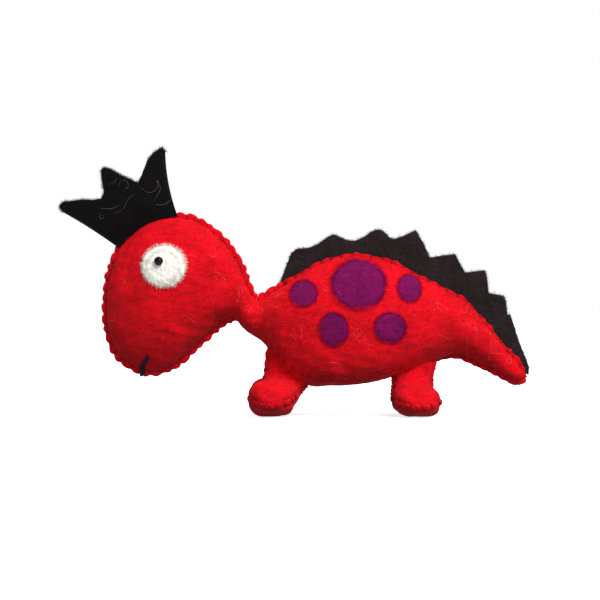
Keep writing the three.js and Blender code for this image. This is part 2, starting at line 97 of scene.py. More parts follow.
NECK_RIB = 10  # where the head's felt meets the neck's
MID_RIB = 17  # where the front of the body meets the rear
GUSSET_ANGLE = -50  # where the side panel ends under the belly
SEAM_ALLOWANCE = 2.3
LEAST_ASIDE = 0.08  # how near the felt may come to the middle plane
PANEL_HEIGHT = 105  # of a side panel along its curve, which sets the number of points up it
SEAM_REACH = 2.2  # how far beside a seam the felt is drawn in
THIN = 9  # half width under which the felt is drawn in less
LEG_SWELL, LEG_SWELL_REACH = 1.4, 3.0  # how far the felt swells out round a leg, and over what distance

# The section of the body: powers of the angle's cosine and sine outside and inside the belly, and the sag.
OUT_POWERS = 1.1, 0.72
LIFT_POWERS = 1.0, 0.85
SAG = 0.1
CREST_FROM = 12.0  # rib from which the crest is sewn into the back seam

# Leg paths from hip to toe: x, distance from the middle, z, half width, half thickness, and how much farther
# the leg reaches backwards, where its back edge runs on into the belly.
LEGS = {
    "front": np.array([
        [-5.2, 6, 42, 9.8, 4.6, 14], [-5.8, 6, 31, 10, 4.8, 12], [-6.4, 7.2, 22.2, 10.1, 6.2, 8.5],
        [-9, 12.6, 14.2, 11, 8.4, 3.2], [-11.8, 20.6, 10.6, 12.6, 9.8, 0], [-12.2, 29, 9.9, 13, 10.3, 0],
        [-12.3, 37.4, 6.2, 12.4, 8.6, 0]]),
    "rear": np.array([
        [66, 6, 43, 11, 4.6, 2], [66, 6, 31, 11.1, 4.8, 2.4], [66.2, 7, 21.4, 11, 6, 0.5],
        [66.8, 12.4, 12.2, 11.6, 7.8, 0], [68.2, 20.6, 8.6, 12.7, 8.4, 0], [68.4, 29, 8.2, 13, 8.5, 0],
        [68.5, 37.4, 5.6, 12.8, 7.4, 0]]),
}
TOE_FROM = 0.7  # share of the path from which a foot rounds off to its toe
SEAM_START = 0.06  # share of the path at which the seam round a foot begins

# Outline of the crest, as x and z, from the shoulders over the tips to the end of the tail.
CREST = np.array([
    [-8, 73.4], [-5.2, 80.6], [-1.4, 90.5], [1.7, 93.2], [8.5, 93.8], [12.9, 95.4], [17.6, 98.8], [22, 101.3],
    [25.8, 99.9], [29.8, 98.2], [33.8, 97.6], [39.4, 99.8], [42.8, 102.4], [45.8, 103.9], [48.8, 104],
    [51.4, 102.1], [54, 99.3], [56.2, 98.7], [61.4, 100.4], [68.3, 103.6], [72.6, 96.5], [76.2, 88.3],
    [83.4, 89.5], [90.5, 90.3], [92.2, 86.4], [96, 80], [101.6, 80.6], [107, 81.2], [108.1, 77.4],
    [109.2, 68.5], [113.4, 67.7], [117.7, 66.8], [119, 62.8], [119.6, 56.6], [121.4, 56], [123.1, 51.2],
    [126, 41.8], [129.8, 32.4], [131.8, 27], [131.4, 22.6]])
CREST_THICK = 3.0

# Outline of a crown panel, as x and z: along its foot on the head, and over its three points.
CROWN_FOOT = np.array([
    [-97.4, 93.4], [-95.2, 96.3], [-92.2, 99.9], [-86.8, 104.3], [-80.9, 107.7], [-72.5, 110.3],
    [-64.9, 111.4]])
CROWN_TOP = np.array([
    [-129.2, 113.8], [-130.9, 116.6], [-129, 119.2], [-118.4, 120.4], [-111, 120.2], [-107, 121],
    [-105.4, 124.4], [-107, 134.6], [-106.7, 137.6], [-105.1, 138.5], [-101, 137], [-96, 133.8],
    [-90.2, 131.4], [-86.6, 129.7], [-85.2, 132.2], [-83.1, 137.3], [-81.2, 142.9], [-78, 146.9],
    [-73.8, 149.8], [-71.9, 148]])
CROWN_THICK = 2.4

EYE = {"x": -71.6, "z": 83.4, "rx": 12.1, "rz": 11.4}
PUPIL = {"x": -74, "z": 85.5, "r": 2.5, "deep": 1.9}
SPOTS = (
    {"x": 36, "z": 73.6, "rx": 15.2, "rz": 14.2}, {"x": 5.6, "z": 68.1, "rx": 7.6, "rz": 7.5},
    {"x": 22, "z": 48.5, "rx": 8.1, "rz": 9.2}, {"x": 53.1, "z": 49.3, "rx": 8.8, "rz": 8.4},
    {"x": 64.2, "z": 71.1, "rx": 6.8, "rz": 7.7})
PATCH_ROOT = 0.7  # how deep the wool of an eye or a spot is felted in
MOUTH = np.array([[-80.2, 35], [-81.5, 32.4], [-82.8, 30], [-83.8, 28.2]])
MOUTH_RIB = 3.52  # where the mouth yarn crosses the lower edge of the snout

SLOT = {"x": 30, "rx": 20, "ry": 13.5}  # the hole for the fingers
POCKET = np.array([  # height, and how far the pocket has drawn in there
    [19, 1], [30, 1], [44, 1.04], [54, 0.98], [60, 0.84], [63, 0.6], [64, 0.3], [64.2, 0]])

# The view: the point looked at, how far in front of it the camera stands, and a lens that takes in 330 mm of
# width at 1400 mm.
VIEW_X, VIEW_Z = 3.6, 64.6
VIEW_FROM = 1425
SENSOR, LENS = 36, 36 * 1400 / 330
FLOOR_REACH = 3.0  # metres
LAMPS = (  # name, direction of the light, apparent size in degrees, strength, colour
    ("key", (-0.6, 0.8, -1.0), 25, 3.2, (1, 0.985, 0.96)),
    ("top", (0.1, -0.25, -1.0), 60, 0.5, (1, 1, 1)),
    ("front", (-0.2, 1.0, -0.12), 50, 0.75, (1, 0.99, 0.99)))
WORLD_LOW, WORLD_HIGH = 0.05, 0.75  # light from straight below and from straight above


# ---- Small maths ----

def lerp(a, b, t):
    return a + (b - a) * t


def smooth(x, start, end):
    """0 before start, 1 after end, with a smooth step between them."""
    t = np.clip((np.asarray(x, float) - start) / (end - start), 0, 1)
    return t * t * (3 - 2 * t)


def unit(v):
    return v / np.maximum(np.linalg.norm(v, axis=-1, keepdims=True), 1e-9)


def signed_power(v, power):
    """v raised to a power, with its sign kept."""
    return np.sign(v) * np.abs(v) ** power


def circle(count):
    """count angles spread evenly over a full turn."""
    return np.arange(count) / count * TAU


def arc_length(points):
    """Length along a polyline up to each of its points."""
    return np.concatenate([[0], np.cumsum(np.linalg.norm(np.diff(points, axis=0), axis=1))])


def upright(flat):
    """Points of the middle plane from x and z of the side view."""
    return np.stack([flat[..., 0], np.zeros(flat.shape[:-1]), flat[..., 1]], axis=-1)


def square_off(ahead):
    """Directions square to others in the side view."""
    return np.stack([ahead[:, 2], np.zeros(len(ahead)), -ahead[:, 0]], axis=-1)


def rail(points, u):
    """Point of the smooth curve through points, where u counts them from 0. It is a cubic in each span whose
    slope at a point is half the step between its neighbours. Both ends are carried on in a straight line."""
    u = np.asarray(u, float)
    p = np.vstack([2 * points[:1] - points[1:2], points, 2 * points[-1:] - points[-2:-1]])
    k = np.clip(np.floor(u).astype(int), 0, len(points) - 2)
    w = (u - k)[..., None]
    a, b, c, d = p[k], p[k + 1], p[k + 2], p[k + 3]
    slope_b, slope_c = (c - a) / 2, (d - b) / 2
    square, cube = 3 * (c - b) - 2 * slope_b - slope_c, 2 * (b - c) + slope_b + slope_c
    return b + w * (slope_b + w * (square + w * cube))


def lumps(points, size, seed):
    """Smooth random height, mostly from -1 to 1: the sum of sine waves about size long in random
    directions."""
    rng, waves = np.random.default_rng(seed), 14
    heading = unit(rng.normal(size=(waves, 3))) * (TAU / size * rng.uniform(0.6, 1.5, (waves, 1)))
    return np.sin(points @ heading.T + rng.uniform(0, TAU, waves)).sum(-1) / math.sqrt(waves)


def resample(points, count):
    """count points spaced evenly along a polyline."""
    s = arc_length(points)
    at = np.linspace(0, s[-1], count)
    return np.stack([np.interp(at, s, points[:, i]) for i in range(points.shape[1])], axis=1)


# ---- The animal's surface ----

def _trimmed():
    """The lower and upper ends of the ribs as x and z. Each is drawn in by the seam allowance, except along
    the throat and the belly, where the gusset has no seam in the middle."""
    low, high = RIBS[:, 0:2], RIBS[:, 2:4]
    inward = unit(high - low) * SEAM_ALLOWANCE
    ribs = np.arange(len(RIBS))[:, None]
    unsewn = smooth(ribs, 8.8, 10.2) * (1 - smooth(ribs, 19, 21))
    return low + inward * (1 - unsewn), high - inward


LOW, HIGH = _trimmed()
HALF = RIBS[:, 4:5]


def belly_at(rib):
    """How much the section sags into a broad belly: 0 in the head and the tail, 1 in the middle."""
    return smooth(rib, 11, 14.5) * (1 - smooth(rib, 18.5, 21.5))


def gusset_at(rib):
    """Angle at which the side panel ends and the gusset begins: the lower edge itself outside the belly."""
    return lerp(-90.0, GUSSET_ANGLE, np.minimum(smooth(rib, 9, 14), 1 - smooth(rib, 18, 20)))


def height_share(lift, belly):
    """How far up its rib a point is, from 0 to 1, whose lift goes from -1 to 1."""
    return 0.5 + 0.5 * lift - SAG * belly * (1 - lift * lift)


def skin(rib, angle, side):
    """A point of the bare surface at a rib number and an angle in degrees: -90 is the lower edge, 0 the
    widest line and 90 the upper edge. The height goes with a power of the angle's sine, and the half width
    with a power of its cosine. Along the back the two sides stand apart by the crest's thickness."""
    rib, angle = np.broadcast_arrays(np.asarray(rib, float), np.asarray(angle, float))
    belly = belly_at(rib)
    a = np.radians(angle)
    below = angle < 0
    out = np.maximum(0, np.cos(a)) ** np.where(below, lerp(*OUT_POWERS, belly), OUT_POWERS[0])
    lift = signed_power(np.sin(a), np.where(below, lerp(*LIFT_POWERS, belly), LIFT_POWERS[0]))
    low, high, half = rail(LOW, rib), rail(HIGH, rib), rail(HALF, rib)[..., 0]
    flat = lerp(low, high, height_share(lift, belly)[..., None])
    along_crest = smooth(rib, 11.4, 12.4) * (1 - smooth(rib, 24.2, 24.7))
    between = CREST_THICK / 2 * smooth(angle, 20, 85) * along_crest
    y = between + np.maximum(half - between, 0) * out
    return np.stack([flat[..., 0], side * y, flat[..., 1]], axis=-1)


def skin_normal(rib, angle, side):
    """Outward direction of the bare surface, from the difference between points on either side."""
    rib = np.clip(rib, 0.12, LAST_RIB - 0.12)
    angle = np.clip(angle, -88.0, 88.0)
    along = skin(rib + 0.04, angle, side) - skin(rib - 0.04, angle, side)
    round_ = skin(rib, angle + 1, side) - skin(rib, angle - 1, side)
    return unit(np.cross(along, round_) * -side)


FINE_RIBS = np.linspace(0, LAST_RIB, 2501)


def edge_length(angle):
    """Length along one edge of the skin from the nose, at each of FINE_RIBS."""
    return arc_length(skin(FINE_RIBS, angle, -1))


UPPER_LENGTH = edge_length(90)
LOWER_LENGTH = edge_length(gusset_at(FINE_RIBS))


def stitch_phase(s, pitch):
    """Whole numbers where a hand-sewn stitch goes round the seam: even steps that drift a little."""
    return s / pitch + 0.1 * np.sin(0.37 * s + 1) + 0.06 * np.sin(0.91 * s)


def leg_line(pair, t, side):
    """Centre, half width, half thickness and extra reach backwards of a leg at a share t of its path."""
    rows = LEGS[pair]
    row = rail(rows, np.asarray(t, float) * (len(rows) - 1))
    centre = row[..., :3] * np.array([1, side, 1])
    return centre, row[..., 3], row[..., 4], row[..., 5]


def leg_frame(pair, t, side):
    """Directions down the leg, across it (along X) and through it (out of its upper face)."""
    ahead = leg_line(pair, np.minimum(t + 0.01, 1.02), side)[0] - leg_line(pair, t - 0.01, side)[0]
    down = unit(ahead)
    across = np.zeros_like(down)
    across[..., 0] = 1
    through = unit(np.cross(down, across)) * -side
    return down, across, through


def near_leg(points, side):
    """Distance from points of the trunk to the nearest leg's round surface."""
    found = np.full(points.shape[:-1], 99.0)
    for pair in PAIRS:
        for t in np.linspace(0.1, 0.5, 7):
            centre, wide, thick, _ = leg_line(pair, t, side)
            gap = np.linalg.norm((points - centre) / np.array([wide / thick, 1, 1]), axis=-1) - thick
            found = np.minimum(found, gap)
    return found


def stuffing_lumps(points, sizes):
    """How far the stuffing pushes the felt out at points of the trunk."""
    return sizes.lump / MM * (0.6 * lumps(points, 21, 3) + 0.4 * lumps(points, 8, 4))


def keep_aside(points, side):
    """Keeps points on their own side of the middle plane."""
    points[..., 1] = side * np.maximum(side * points[..., 1], LEAST_ASIDE)
    return points


def felt_surface(rib, angle, side, sizes):
    """The stuffed felt: the bare surface, lumpy, drawn in along its seams and deeper at each stitch, and
    swelling softly out towards the legs."""
    p, n = skin(rib, angle, side), skin_normal(rib, angle, side)
    rib, angle = np.broadcast_arrays(np.asarray(rib, float), np.asarray(angle, float))
    depth = -stuffing_lumps(p, sizes)
    for edge, length in ((np.full(rib.shape, 90.0), UPPER_LENGTH), (gusset_at(rib), LOWER_LENGTH)):
        away = np.linalg.norm(p - skin(rib, edge, side), axis=-1)
        phase = stitch_phase(np.interp(rib, FINE_RIBS, length), sizes.stitch_pitch / MM)
        pinch = np.abs(np.cos(np.pi * phase)) ** 3
        sewn = np.where(edge > 0, 1 - 0.75 * smooth(rib, 11.5, 13),
                        1 - 0.6 * smooth(rib, 8.8, 10) * (1 - smooth(rib, 19, 20.5)))
        thin = np.clip(rail(HALF, rib)[..., 0] / THIN, 0, 1)
        depth = depth + thin * sewn * sizes.groove / MM * (
            np.exp(-((away / SEAM_REACH) ** 2)) + 0.8 * pinch * np.exp(-((away - 1.5) / 2.4) ** 2))
    crowd = near_leg(p, side)
    depth = depth - LEG_SWELL * np.exp(-(np.maximum(crowd, 0) / LEG_SWELL_REACH) ** 2) * (rib > NECK_RIB)
    return keep_aside(p - n * depth[..., None], side)


def locate(x, z):
    """Rib number and angle at which the side of the animal covers the point x, z of the side view. Newton
    steps on the rib and the share of its height, from the nearest of a coarse table, then the share is turned
    back into an angle."""
    x, z = np.broadcast_arrays(np.asarray(x, float), np.asarray(z, float))
    ribs, shares = np.meshgrid(np.linspace(0.3, LAST_RIB - 0.3, 120), np.linspace(0, 1, 21), indexing="ij")
    table = lerp(rail(LOW, ribs), rail(HIGH, ribs), shares[..., None]).reshape(-1, 2)
    goal = np.stack([x, z], axis=-1)
    nearest = np.argmin(((goal.reshape(-1, 1, 2) - table) ** 2).sum(-1), axis=1).reshape(x.shape)
    rib, share = ribs.ravel()[nearest], shares.ravel()[nearest]
    for _ in range(6):
        low, high = rail(LOW, rib), rail(HIGH, rib)
        here = lerp(low, high, share[..., None])
        step = 0.01
        by_rib = (lerp(rail(LOW, rib + step), rail(HIGH, rib + step), share[..., None]) - here) / step
        by_share = high - low
        miss = goal - here
        det = by_rib[..., 0] * by_share[..., 1] - by_rib[..., 1] * by_share[..., 0]
        det = np.where(np.abs(det) < 1e-6, 1e-6, det)
        rib = rib + (miss[..., 0] * by_share[..., 1] - miss[..., 1] * by_share[..., 0]) / det
        share = share + (by_rib[..., 0] * miss[..., 1] - by_rib[..., 1] * miss[..., 0]) / det
        rib, share = np.clip(rib, 0.05, LAST_RIB - 0.05), np.clip(share, -0.02, 1.02)
    sag = np.maximum(SAG * belly_at(rib), 1e-4)
    lift = (-0.5 + np.sqrt(np.maximum(0.25 - 4 * sag * (0.5 - sag - share), 0))) / (2 * sag)
    lift = np.clip(lift, -1, 1)
    power = np.where(lift < 0, lerp(*LIFT_POWERS, belly_at(rib)), LIFT_POWERS[0])
    return rib, np.degrees(np.arcsin(signed_power(lift, 1 / power)))


def locate_under(x, y):
    """Rib number and angle of the underside above the point x, y of the floor. The half width gives the
    cosine of the angle, and the rib is corrected until its point lies at x."""
    ribs = np.linspace(8, 23, 600)
    low_x = rail(LOW, ribs)[:, 0]
    rib = np.interp(x, low_x, ribs)
    for _ in range(8):
        belly = belly_at(rib)
        cosine = np.clip(np.abs(y) / rail(HALF, rib)[..., 0], 0, 1) ** (1 / lerp(*OUT_POWERS, belly))
        lift = -np.sqrt(1 - cosine ** 2) ** lerp(*LIFT_POWERS, belly)
        lean = rail(HIGH, rib)[..., 0] - rail(LOW, rib)[..., 0]
        rib = np.interp(x - height_share(lift, belly) * lean, low_x, ribs)
    return rib, -np.degrees(np.arccos(cosine))


def slot_edge(turn):
    """x and y of the edge of the finger hole."""
    return SLOT["x"] + SLOT["rx"] * np.cos(turn), SLOT["ry"] * np.sin(turn)


# ---- Meshes ----

def grid_quads(rows, cols, wrap_cols=False):
    """Four-cornered faces of a grid of points counted row by row."""
    i, j = np.meshgrid(np.arange(rows - 1), np.arange(cols if wrap_cols else cols - 1), indexing="ij")
    i2, j2 = i + 1, (j + 1) % cols
    return np.stack([i * cols + j, i * cols + j2, i2 * cols + j2, i2 * cols + j], axis=-1).reshape(-1, 4)


def slab(outer, inner, wrap_cols=False):
    """A closed sheet between two grids of the same shape: both faces, and a rim joining their borders."""
    rows, cols = outer.shape[:2]
    count = rows * cols
    quads = grid_quads(rows, cols, wrap_cols)
    faces = [quads, quads[:, ::-1] + count]
    index = np.arange(count).reshape(rows, cols)
    if wrap_cols:
        loops = [np.append(index[0], index[0, 0]), np.append(index[-1], index[-1, 0])[::-1]]
    else:
        loops = [np.concatenate([index[0, :], index[1:, -1], index[-1, -2::-1], index[-2::-1, 0]])]
    for loop in loops:
        faces.append(np.stack([loop[1:], loop[:-1], loop[:-1] + count, loop[1:] + count], axis=-1))
    return np.concatenate([outer.reshape(-1, 3), inner.reshape(-1, 3)]), np.concatenate(faces)


def tubes(rings):
    """Closed tubes from rings of points: an array of tube, ring, corner, coordinate. Each end closes on its
    own middle point."""
    many, long, sides = rings.shape[:3]
    ends = rings[:, [0, -1]].mean(axis=2)
    per = long * sides + 2
    points = np.concatenate([rings.reshape(many, long * sides, 3), ends], axis=1).reshape(-1, 3)
    quads = grid_quads(long, sides, wrap_cols=True)
    k = np.arange(sides)
    k2 = (k + 1) % sides
    last_ring = (long - 1) * sides
    first = np.stack([np.full(sides, long * sides), k2, k], axis=-1)
    last = np.stack([np.full(sides, long * sides + 1), last_ring + k, last_ring + k2], axis=-1)
    shift = (np.arange(many) * per)[:, None, None]
    return points, [(quads + shift).reshape(-1, 4), (np.concatenate([first, last]) + shift).reshape(-1, 3)]


def sweep(lines, radius, sides):
    """Rings round centre lines: an array of line, point, coordinate. radius may be one number or one for
    each point."""
    ahead = unit(np.gradient(lines, axis=1))
    helper = np.array([0.31, 0.86, 0.41])
    a = unit(np.cross(ahead, helper))
    b = np.cross(ahead, a)
    turn = circle(sides)[:, None]
    r = np.broadcast_to(np.asarray(radius, float), lines.shape[:2])[..., None, None]
    ring = a[:, :, None] * np.cos(turn) + b[:, :, None] * np.sin(turn)
    return lines[:, :, None] + ring * r


SAME_POINT, NO_LENGTH = 2e-6, 1e-7  # metres under which points are merged and edges dissolved
RIM_ANGLE = 60


def add_mesh(name, points, faces, finish, merge=True, crease=False):
    """A smooth mesh object from points in millimetres. Doubled points are merged, so poles and seams close,
    and faces are turned outwards if the enclosed volume comes out negative. With crease, the edges where a
    face meets the rim stay sharp."""
    groups = faces if isinstance(faces, list) else [faces]
    mesh = bpy.data.meshes.new(name)
    loops = np.concatenate([g.reshape(-1) for g in groups])
    sizes = np.concatenate([np.full(len(g), g.shape[1]) for g in groups])
    mesh.vertices.add(len(points))
    mesh.vertices.foreach_set("co", (points * MM).astype(np.float32).ravel())
    mesh.loops.add(len(loops))
    mesh.loops.foreach_set("vertex_index", loops.astype(np.int32))
    mesh.polygons.add(len(sizes))
    mesh.polygons.foreach_set("loop_start", np.concatenate([[0], np.cumsum(sizes)[:-1]]).astype(np.int32))
    mesh.update(calc_edges=True)
    volume = 0.0
    for g in groups:
        for k in range(1, g.shape[1] - 1):
            a, b, c = points[g[:, 0]], points[g[:, k]], points[g[:, k + 1]]
            volume += (a * np.cross(b, c)).sum()
    if merge or volume < 0:
        made = bmesh.new()
        made.from_mesh(mesh)
        if merge:
            bmesh.ops.remove_doubles(made, verts=made.verts, dist=SAME_POINT)
            bmesh.ops.dissolve_degenerate(made, edges=made.edges, dist=NO_LENGTH)
        if volume < 0:
            bmesh.ops.reverse_faces(made, faces=made.faces)
        made.to_mesh(mesh)
        made.free()
    mesh.shade_smooth()
    if crease:
        mesh.set_sharp_from_angle(angle=math.radians(RIM_ANGLE))
    mesh.validate()
    obj = bpy.data.objects.new(name, mesh)
    bpy.context.scene.collection.objects.link(obj)
    mesh.materials.append(finish)
    return obj


def bend(obj):
    """Bakes the placement of a piece into its mesh."""
    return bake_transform(obj)


def leg_bend(obj):
    """Bakes the placement of a piece into its mesh."""
    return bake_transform(obj)


# ---- Finishes ----

class Value:
    """A socket that carries a number, so that sums are written as sums. Each operator adds a Math node."""

    def __init__(self, finish, socket):
        self.finish, self.socket = finish, socket

    def _do(self, operation, *terms):
        return self.finish.node("ShaderNodeMath", {"operation": operation}, dict(enumerate(terms)))

    def __add__(self, other):
        return self._do("ADD", self, other)

    __radd__ = __add__

    def __mul__(self, other):
        return self._do("MULTIPLY", self, other)

    __rmul__ = __mul__

    def __sub__(self, other):
        return self._do("SUBTRACT", self, other)

    def __rsub__(self, other):
        return self._do("SUBTRACT", other, self)

    def __abs__(self):
        return self._do("ABSOLUTE", self)

    def clear(self):
        """The number kept from 0 to 1."""
        return self.finish.node("ShaderNodeClamp", {}, {0: self})

    def step(self, start, end):
        """0 before start and 1 after end."""
        return self.finish.node("ShaderNodeMapRange", {"interpolation_type": "SMOOTHSTEP"},
                                {"Value": self, "From Min": start, "From Max": end})


class Finish:
    """A material under construction. node() adds any node: settings are set first, then socket values."""

    def __init__(self, name):
        self.material = bpy.data.materials.new(name)
        self.material.use_nodes = True
        self.tree = self.material.node_tree
        self.tree.nodes.clear()

    def node(self, kind, settings=None, sockets=None, out=0):
        made = self.tree.nodes.new(kind)
        for name, value in (settings or {}).items():
            setattr(made, name, value)
        for key, value in (sockets or {}).items():
            if isinstance(value, Value):
                self.tree.links.new(value.socket, made.inputs[key])
            else:
                made.inputs[key].default_value = value
        return Value(self, made.outputs[out]) if made.outputs else None

    def place(self):
        return self.node("ShaderNodeTexCoord", out="Object")

    def noise(self, where, scale, detail=3.0, rough=0.55, warp=0.0):
        return self.node("ShaderNodeTexNoise", {}, {
            "Vector": where, "Scale": scale, "Detail": detail, "Roughness": rough, "Distortion": warp})

    def fibres(self, where, by, turn, detail=3.0, rough=0.55, warp=0.0):
        """Noise squeezed by three factors and turned, so that it runs in streaks."""
        where = self.node("ShaderNodeMapping", {}, {"Vector": where, "Scale": by, "Rotation": turn})
        return self.noise(where, 1.0, detail, rough, warp)

    def mix(self, share, a, b):
        """Colour a where share is 0 and b where it is 1."""
        return self.node("ShaderNodeMix", {"data_type": "RGBA"}, {0: share, 6: a, 7: b}, out=2)

    def close(self, color, roughness, height=None, bump=0.5, deep=0.0005, **constants):
        """Ends the material in one shader. Constants go on its own sockets."""
        sockets = {"Base Color": color, "Roughness": roughness}
        for name, value in constants.items():
            sockets[name.replace("_", " ")] = value
        if height is not None:
            sockets["Normal"] = self.node("ShaderNodeBump", {}, {
                "Height": height, "Strength": bump, "Distance": deep})
        shader = self.node("ShaderNodeBsdfPrincipled", {}, sockets)
        self.node("ShaderNodeOutputMaterial", {}, {"Surface": shader})
        return self.material


def shade(color, by):
    """A colour made lighter or darker by a factor."""
    return [min(1.0, c * by) for c in color[:3]] + [1.0]


def toward(color, other, share):
    return [lerp(a, b, share) for a, b in zip(color[:3], other[:3])] + [1.0]


def felt(name, color, hair, contrast, hairs, sheen):
    """Pressed wool: soft blotches, mottling a couple of millimetres wide, fine streaks where the fibres lie
    along the cloth, and single paler and darker hairs, which are the narrow bands where a noise is near its
    middle value."""
    f = Finish(name)
    here = f.place()
    blotch = f.noise(here, 70, 3)
    mottle = f.noise(here, 520, 5, 0.62, 0.8)
    streak = f.fibres(here, (130, 300, 760), (0.1, 0.3, 0.1), 4, 0.6, 1.8)
    fine = f.noise(here, 2300, 3, 0.7)
    pale = 1 - abs(f.fibres(here, (170, 300, 420), (0.3, 0.2, 0.5), 1.5, 0.4, 2.6) - 0.5).step(0.0, 0.012)
    dark = 1 - abs(f.fibres(here, (260, 300, 520), (0.2, 0.7, -0.3), 1.5, 0.4, 2.2) - 0.5).step(0.0, 0.018)
    tone = (0.34 * mottle + 0.42 * streak + 0.24 * fine + 0.3 * (blotch - 0.5)).step(0.33, 0.67)
    base = f.mix(tone, shade(color, 1 - 0.42 * contrast), shade(color, 1 + 0.42 * contrast))
    base = f.mix((dark * streak.step(0.42, 0.6) * 0.24).clear(), base, shade(color, 0.4))
    base = f.mix((pale * mottle.step(0.45, 0.62) * hairs).clear(), base, hair)
    height = 0.5 * mottle + 0.25 * streak + 0.3 * fine + 0.3 * pale - 0.12 * dark
    return f.close(base, (0.86 + 0.12 * fine).clear(), height, 0.75, 0.0007, Sheen_Weight=sheen,
                   Sheen_Roughness=0.45, Sheen_Tint=toward(color, (1, 1, 1), 0.25), Specular_IOR_Level=0.1)


def yarn(name, color):
    """Wool yarn: fine diagonal bands of twist, darker between its plies."""
    f = Finish(name)
    here = f.place()
    ply = f.fibres(here, (1500, 1500, 2600), (0.5, 0.7, 0.3), 2, 0.5, 0.6)
    fuzz = f.noise(here, 2600, 3, 0.7)
    base = f.mix(ply.step(0.38, 0.6), shade(color, 0.5), shade(color, 1.15))
    return f.close(base, (0.8 + 0.15 * fuzz).clear(), 0.7 * ply + 0.4 * fuzz, 0.7, 0.0004,
                   Sheen_Weight=0.04, Sheen_Roughness=0.4, Sheen_Tint=color[:], Specular_IOR_Level=0.08)


def loose_wool(name, color):
    """Loose hair and filling wool: a soft clumped colour."""
    f = Finish(name)
    here = f.place()
    clump = f.noise(here, 380, 5, 0.65, 1.2)
    base = f.mix(clump.step(0.35, 0.65), shade(color, 0.78), shade(color, 1.08))
    return f.close(base, (0.82 + 0.14 * clump).clear(), clump, 0.6, 0.0008, Sheen_Weight=0.05,
                   Sheen_Roughness=0.5, Sheen_Tint=color[:], Specular_IOR_Level=0.1)


def woven(name, color):
    """Cotton lining: crossed threads a third of a millimetre apart, each darker at its sides."""
    f = Finish(name)
    here = f.place()
    across, down = (f.node("ShaderNodeTexWave", {"bands_direction": way}, {
        "Vector": here, "Scale": 480, "Distortion": 1.2, "Detail": 2, "Detail Scale": 2}) for way in "XZ")
    weave = 0.5 * across + 0.5 * down
    worn = f.noise(here, 90, 4)
    base = f.mix((0.6 * weave + 0.4 * worn).step(0.25, 0.75), shade(color, 0.6), shade(color, 1.25))
    return f.close(base, (0.7 + 0.2 * weave).clear(), weave, 0.5, 0.0003, Sheen_Weight=0.15,
                   Sheen_Roughness=0.4, Specular_IOR_Level=0.3)


def glass(name, color):
    """A polished bead with a faint film of dust and fine scratches."""
    f = Finish(name)
    here = f.place()
    dust = f.noise(here, 900, 4, 0.6)
    scratch = f.fibres(here, (600, 600, 3000), (0.4, 0.9, 0), 2)
    base = f.mix(dust.step(0.55, 0.8), color, toward(color, (0.5, 0.5, 0.5), 0.004))
    roughness = (0.06 + 0.05 * scratch.step(0.5, 0.8) + 0.05 * dust.step(0.5, 0.8)).clear()
    return f.close(base, roughness, scratch, 0.05, 0.00005, Specular_IOR_Level=0.12)


def paper(name, color):
    """Matt backdrop paper with the faintest unevenness."""
    f = Finish(name)
    tone = f.noise(f.place(), 3, 3)
    return f.close(f.mix(tone, shade(color, 0.985), shade(color, 1.0)), (0.9 + 0.05 * tone).clear(),
                   f.noise(f.place(), 900, 3), 0.02, 0.0001, Specular_IOR_Level=0.1,
                   Emission_Color=(1, 1, 1, 1), Emission_Strength=0.7)


FINISHES = {}


def finish_for(key):
    """The material of a kind of cloth, made the first time it is asked for."""
    if key not in FINISHES:
        c = bpy.context.scene.puppet_colours
        maker, *details = {  # felt: name, colour, pale hairs, contrast, how many hairs show, sheen
            "red felt": (felt, "red_wool_felt", c.red, (1.0, 0.1, 0.09, 1), 0.9, 0.3, 0.04),
            "black felt": (felt, "black_wool_felt", c.black, (0.03, 0.022, 0.018, 1), 1.0, 0.5, 0.02),
            "brown felt": (felt, "brown_wool_felt", c.brown, (0.1, 0.07, 0.06, 1), 1.1, 0.6, 0.05),
            "purple wool": (felt, "purple_needle_felt", c.purple, (0.5, 0.03, 0.12, 1), 1.1, 0.5, 0.06),
            "white wool": (felt, "white_needle_felt", c.white, (1, 1, 0.97, 1), 0.2, 0.5, 0.3),
            "red yarn": (yarn, "red_sewing_yarn", c.yarn),
            "dark yarn": (yarn, "dark_mouth_yarn", c.mouth),
            "filling": (loose_wool, "wool_filling", c.filling),
            "red hair": (loose_wool, "red_wool_hair", shade(c.red, 1.15)),
            "pale hair": (loose_wool, "pale_wool_hair", (0.75, 0.6, 0.55, 1)),
            "light hair": (loose_wool, "light_red_wool_hair", (0.9, 0.2, 0.16, 1)),
            "black hair": (loose_wool, "black_wool_hair", shade(c.black, 2.2)),
            "brown hair": (loose_wool, "brown_wool_hair", shade(c.brown, 1.6)),
            "grey hair": (loose_wool, "grey_wool_hair", (0.2, 0.16, 0.14, 1)),
            "white hair": (loose_wool, "white_wool_hair", c.white),
            "purple hair": (loose_wool, "purple_wool_hair", shade(c.purple, 1.3)),
            "lining": (woven, "lining_cotton", c.lining),
            "bead": (glass, "black_glass_bead", c.bead),
            "backdrop": (paper, "pale_backdrop", c.backdrop),
        }[key]
        FINISHES[key] = maker(*details)
    return FINISHES[key]


# ---- Sizes and colours a maker would change ----

def length_prop(name, text, value):
    return FloatProperty(name=name, description=text, default=value, unit="LENGTH", min=0)


def colour_prop(name, text, value):
    return FloatVectorProperty(name=name, description=text, default=(*value, 1), subtype="COLOR", size=4,
                               min=0, max=1)


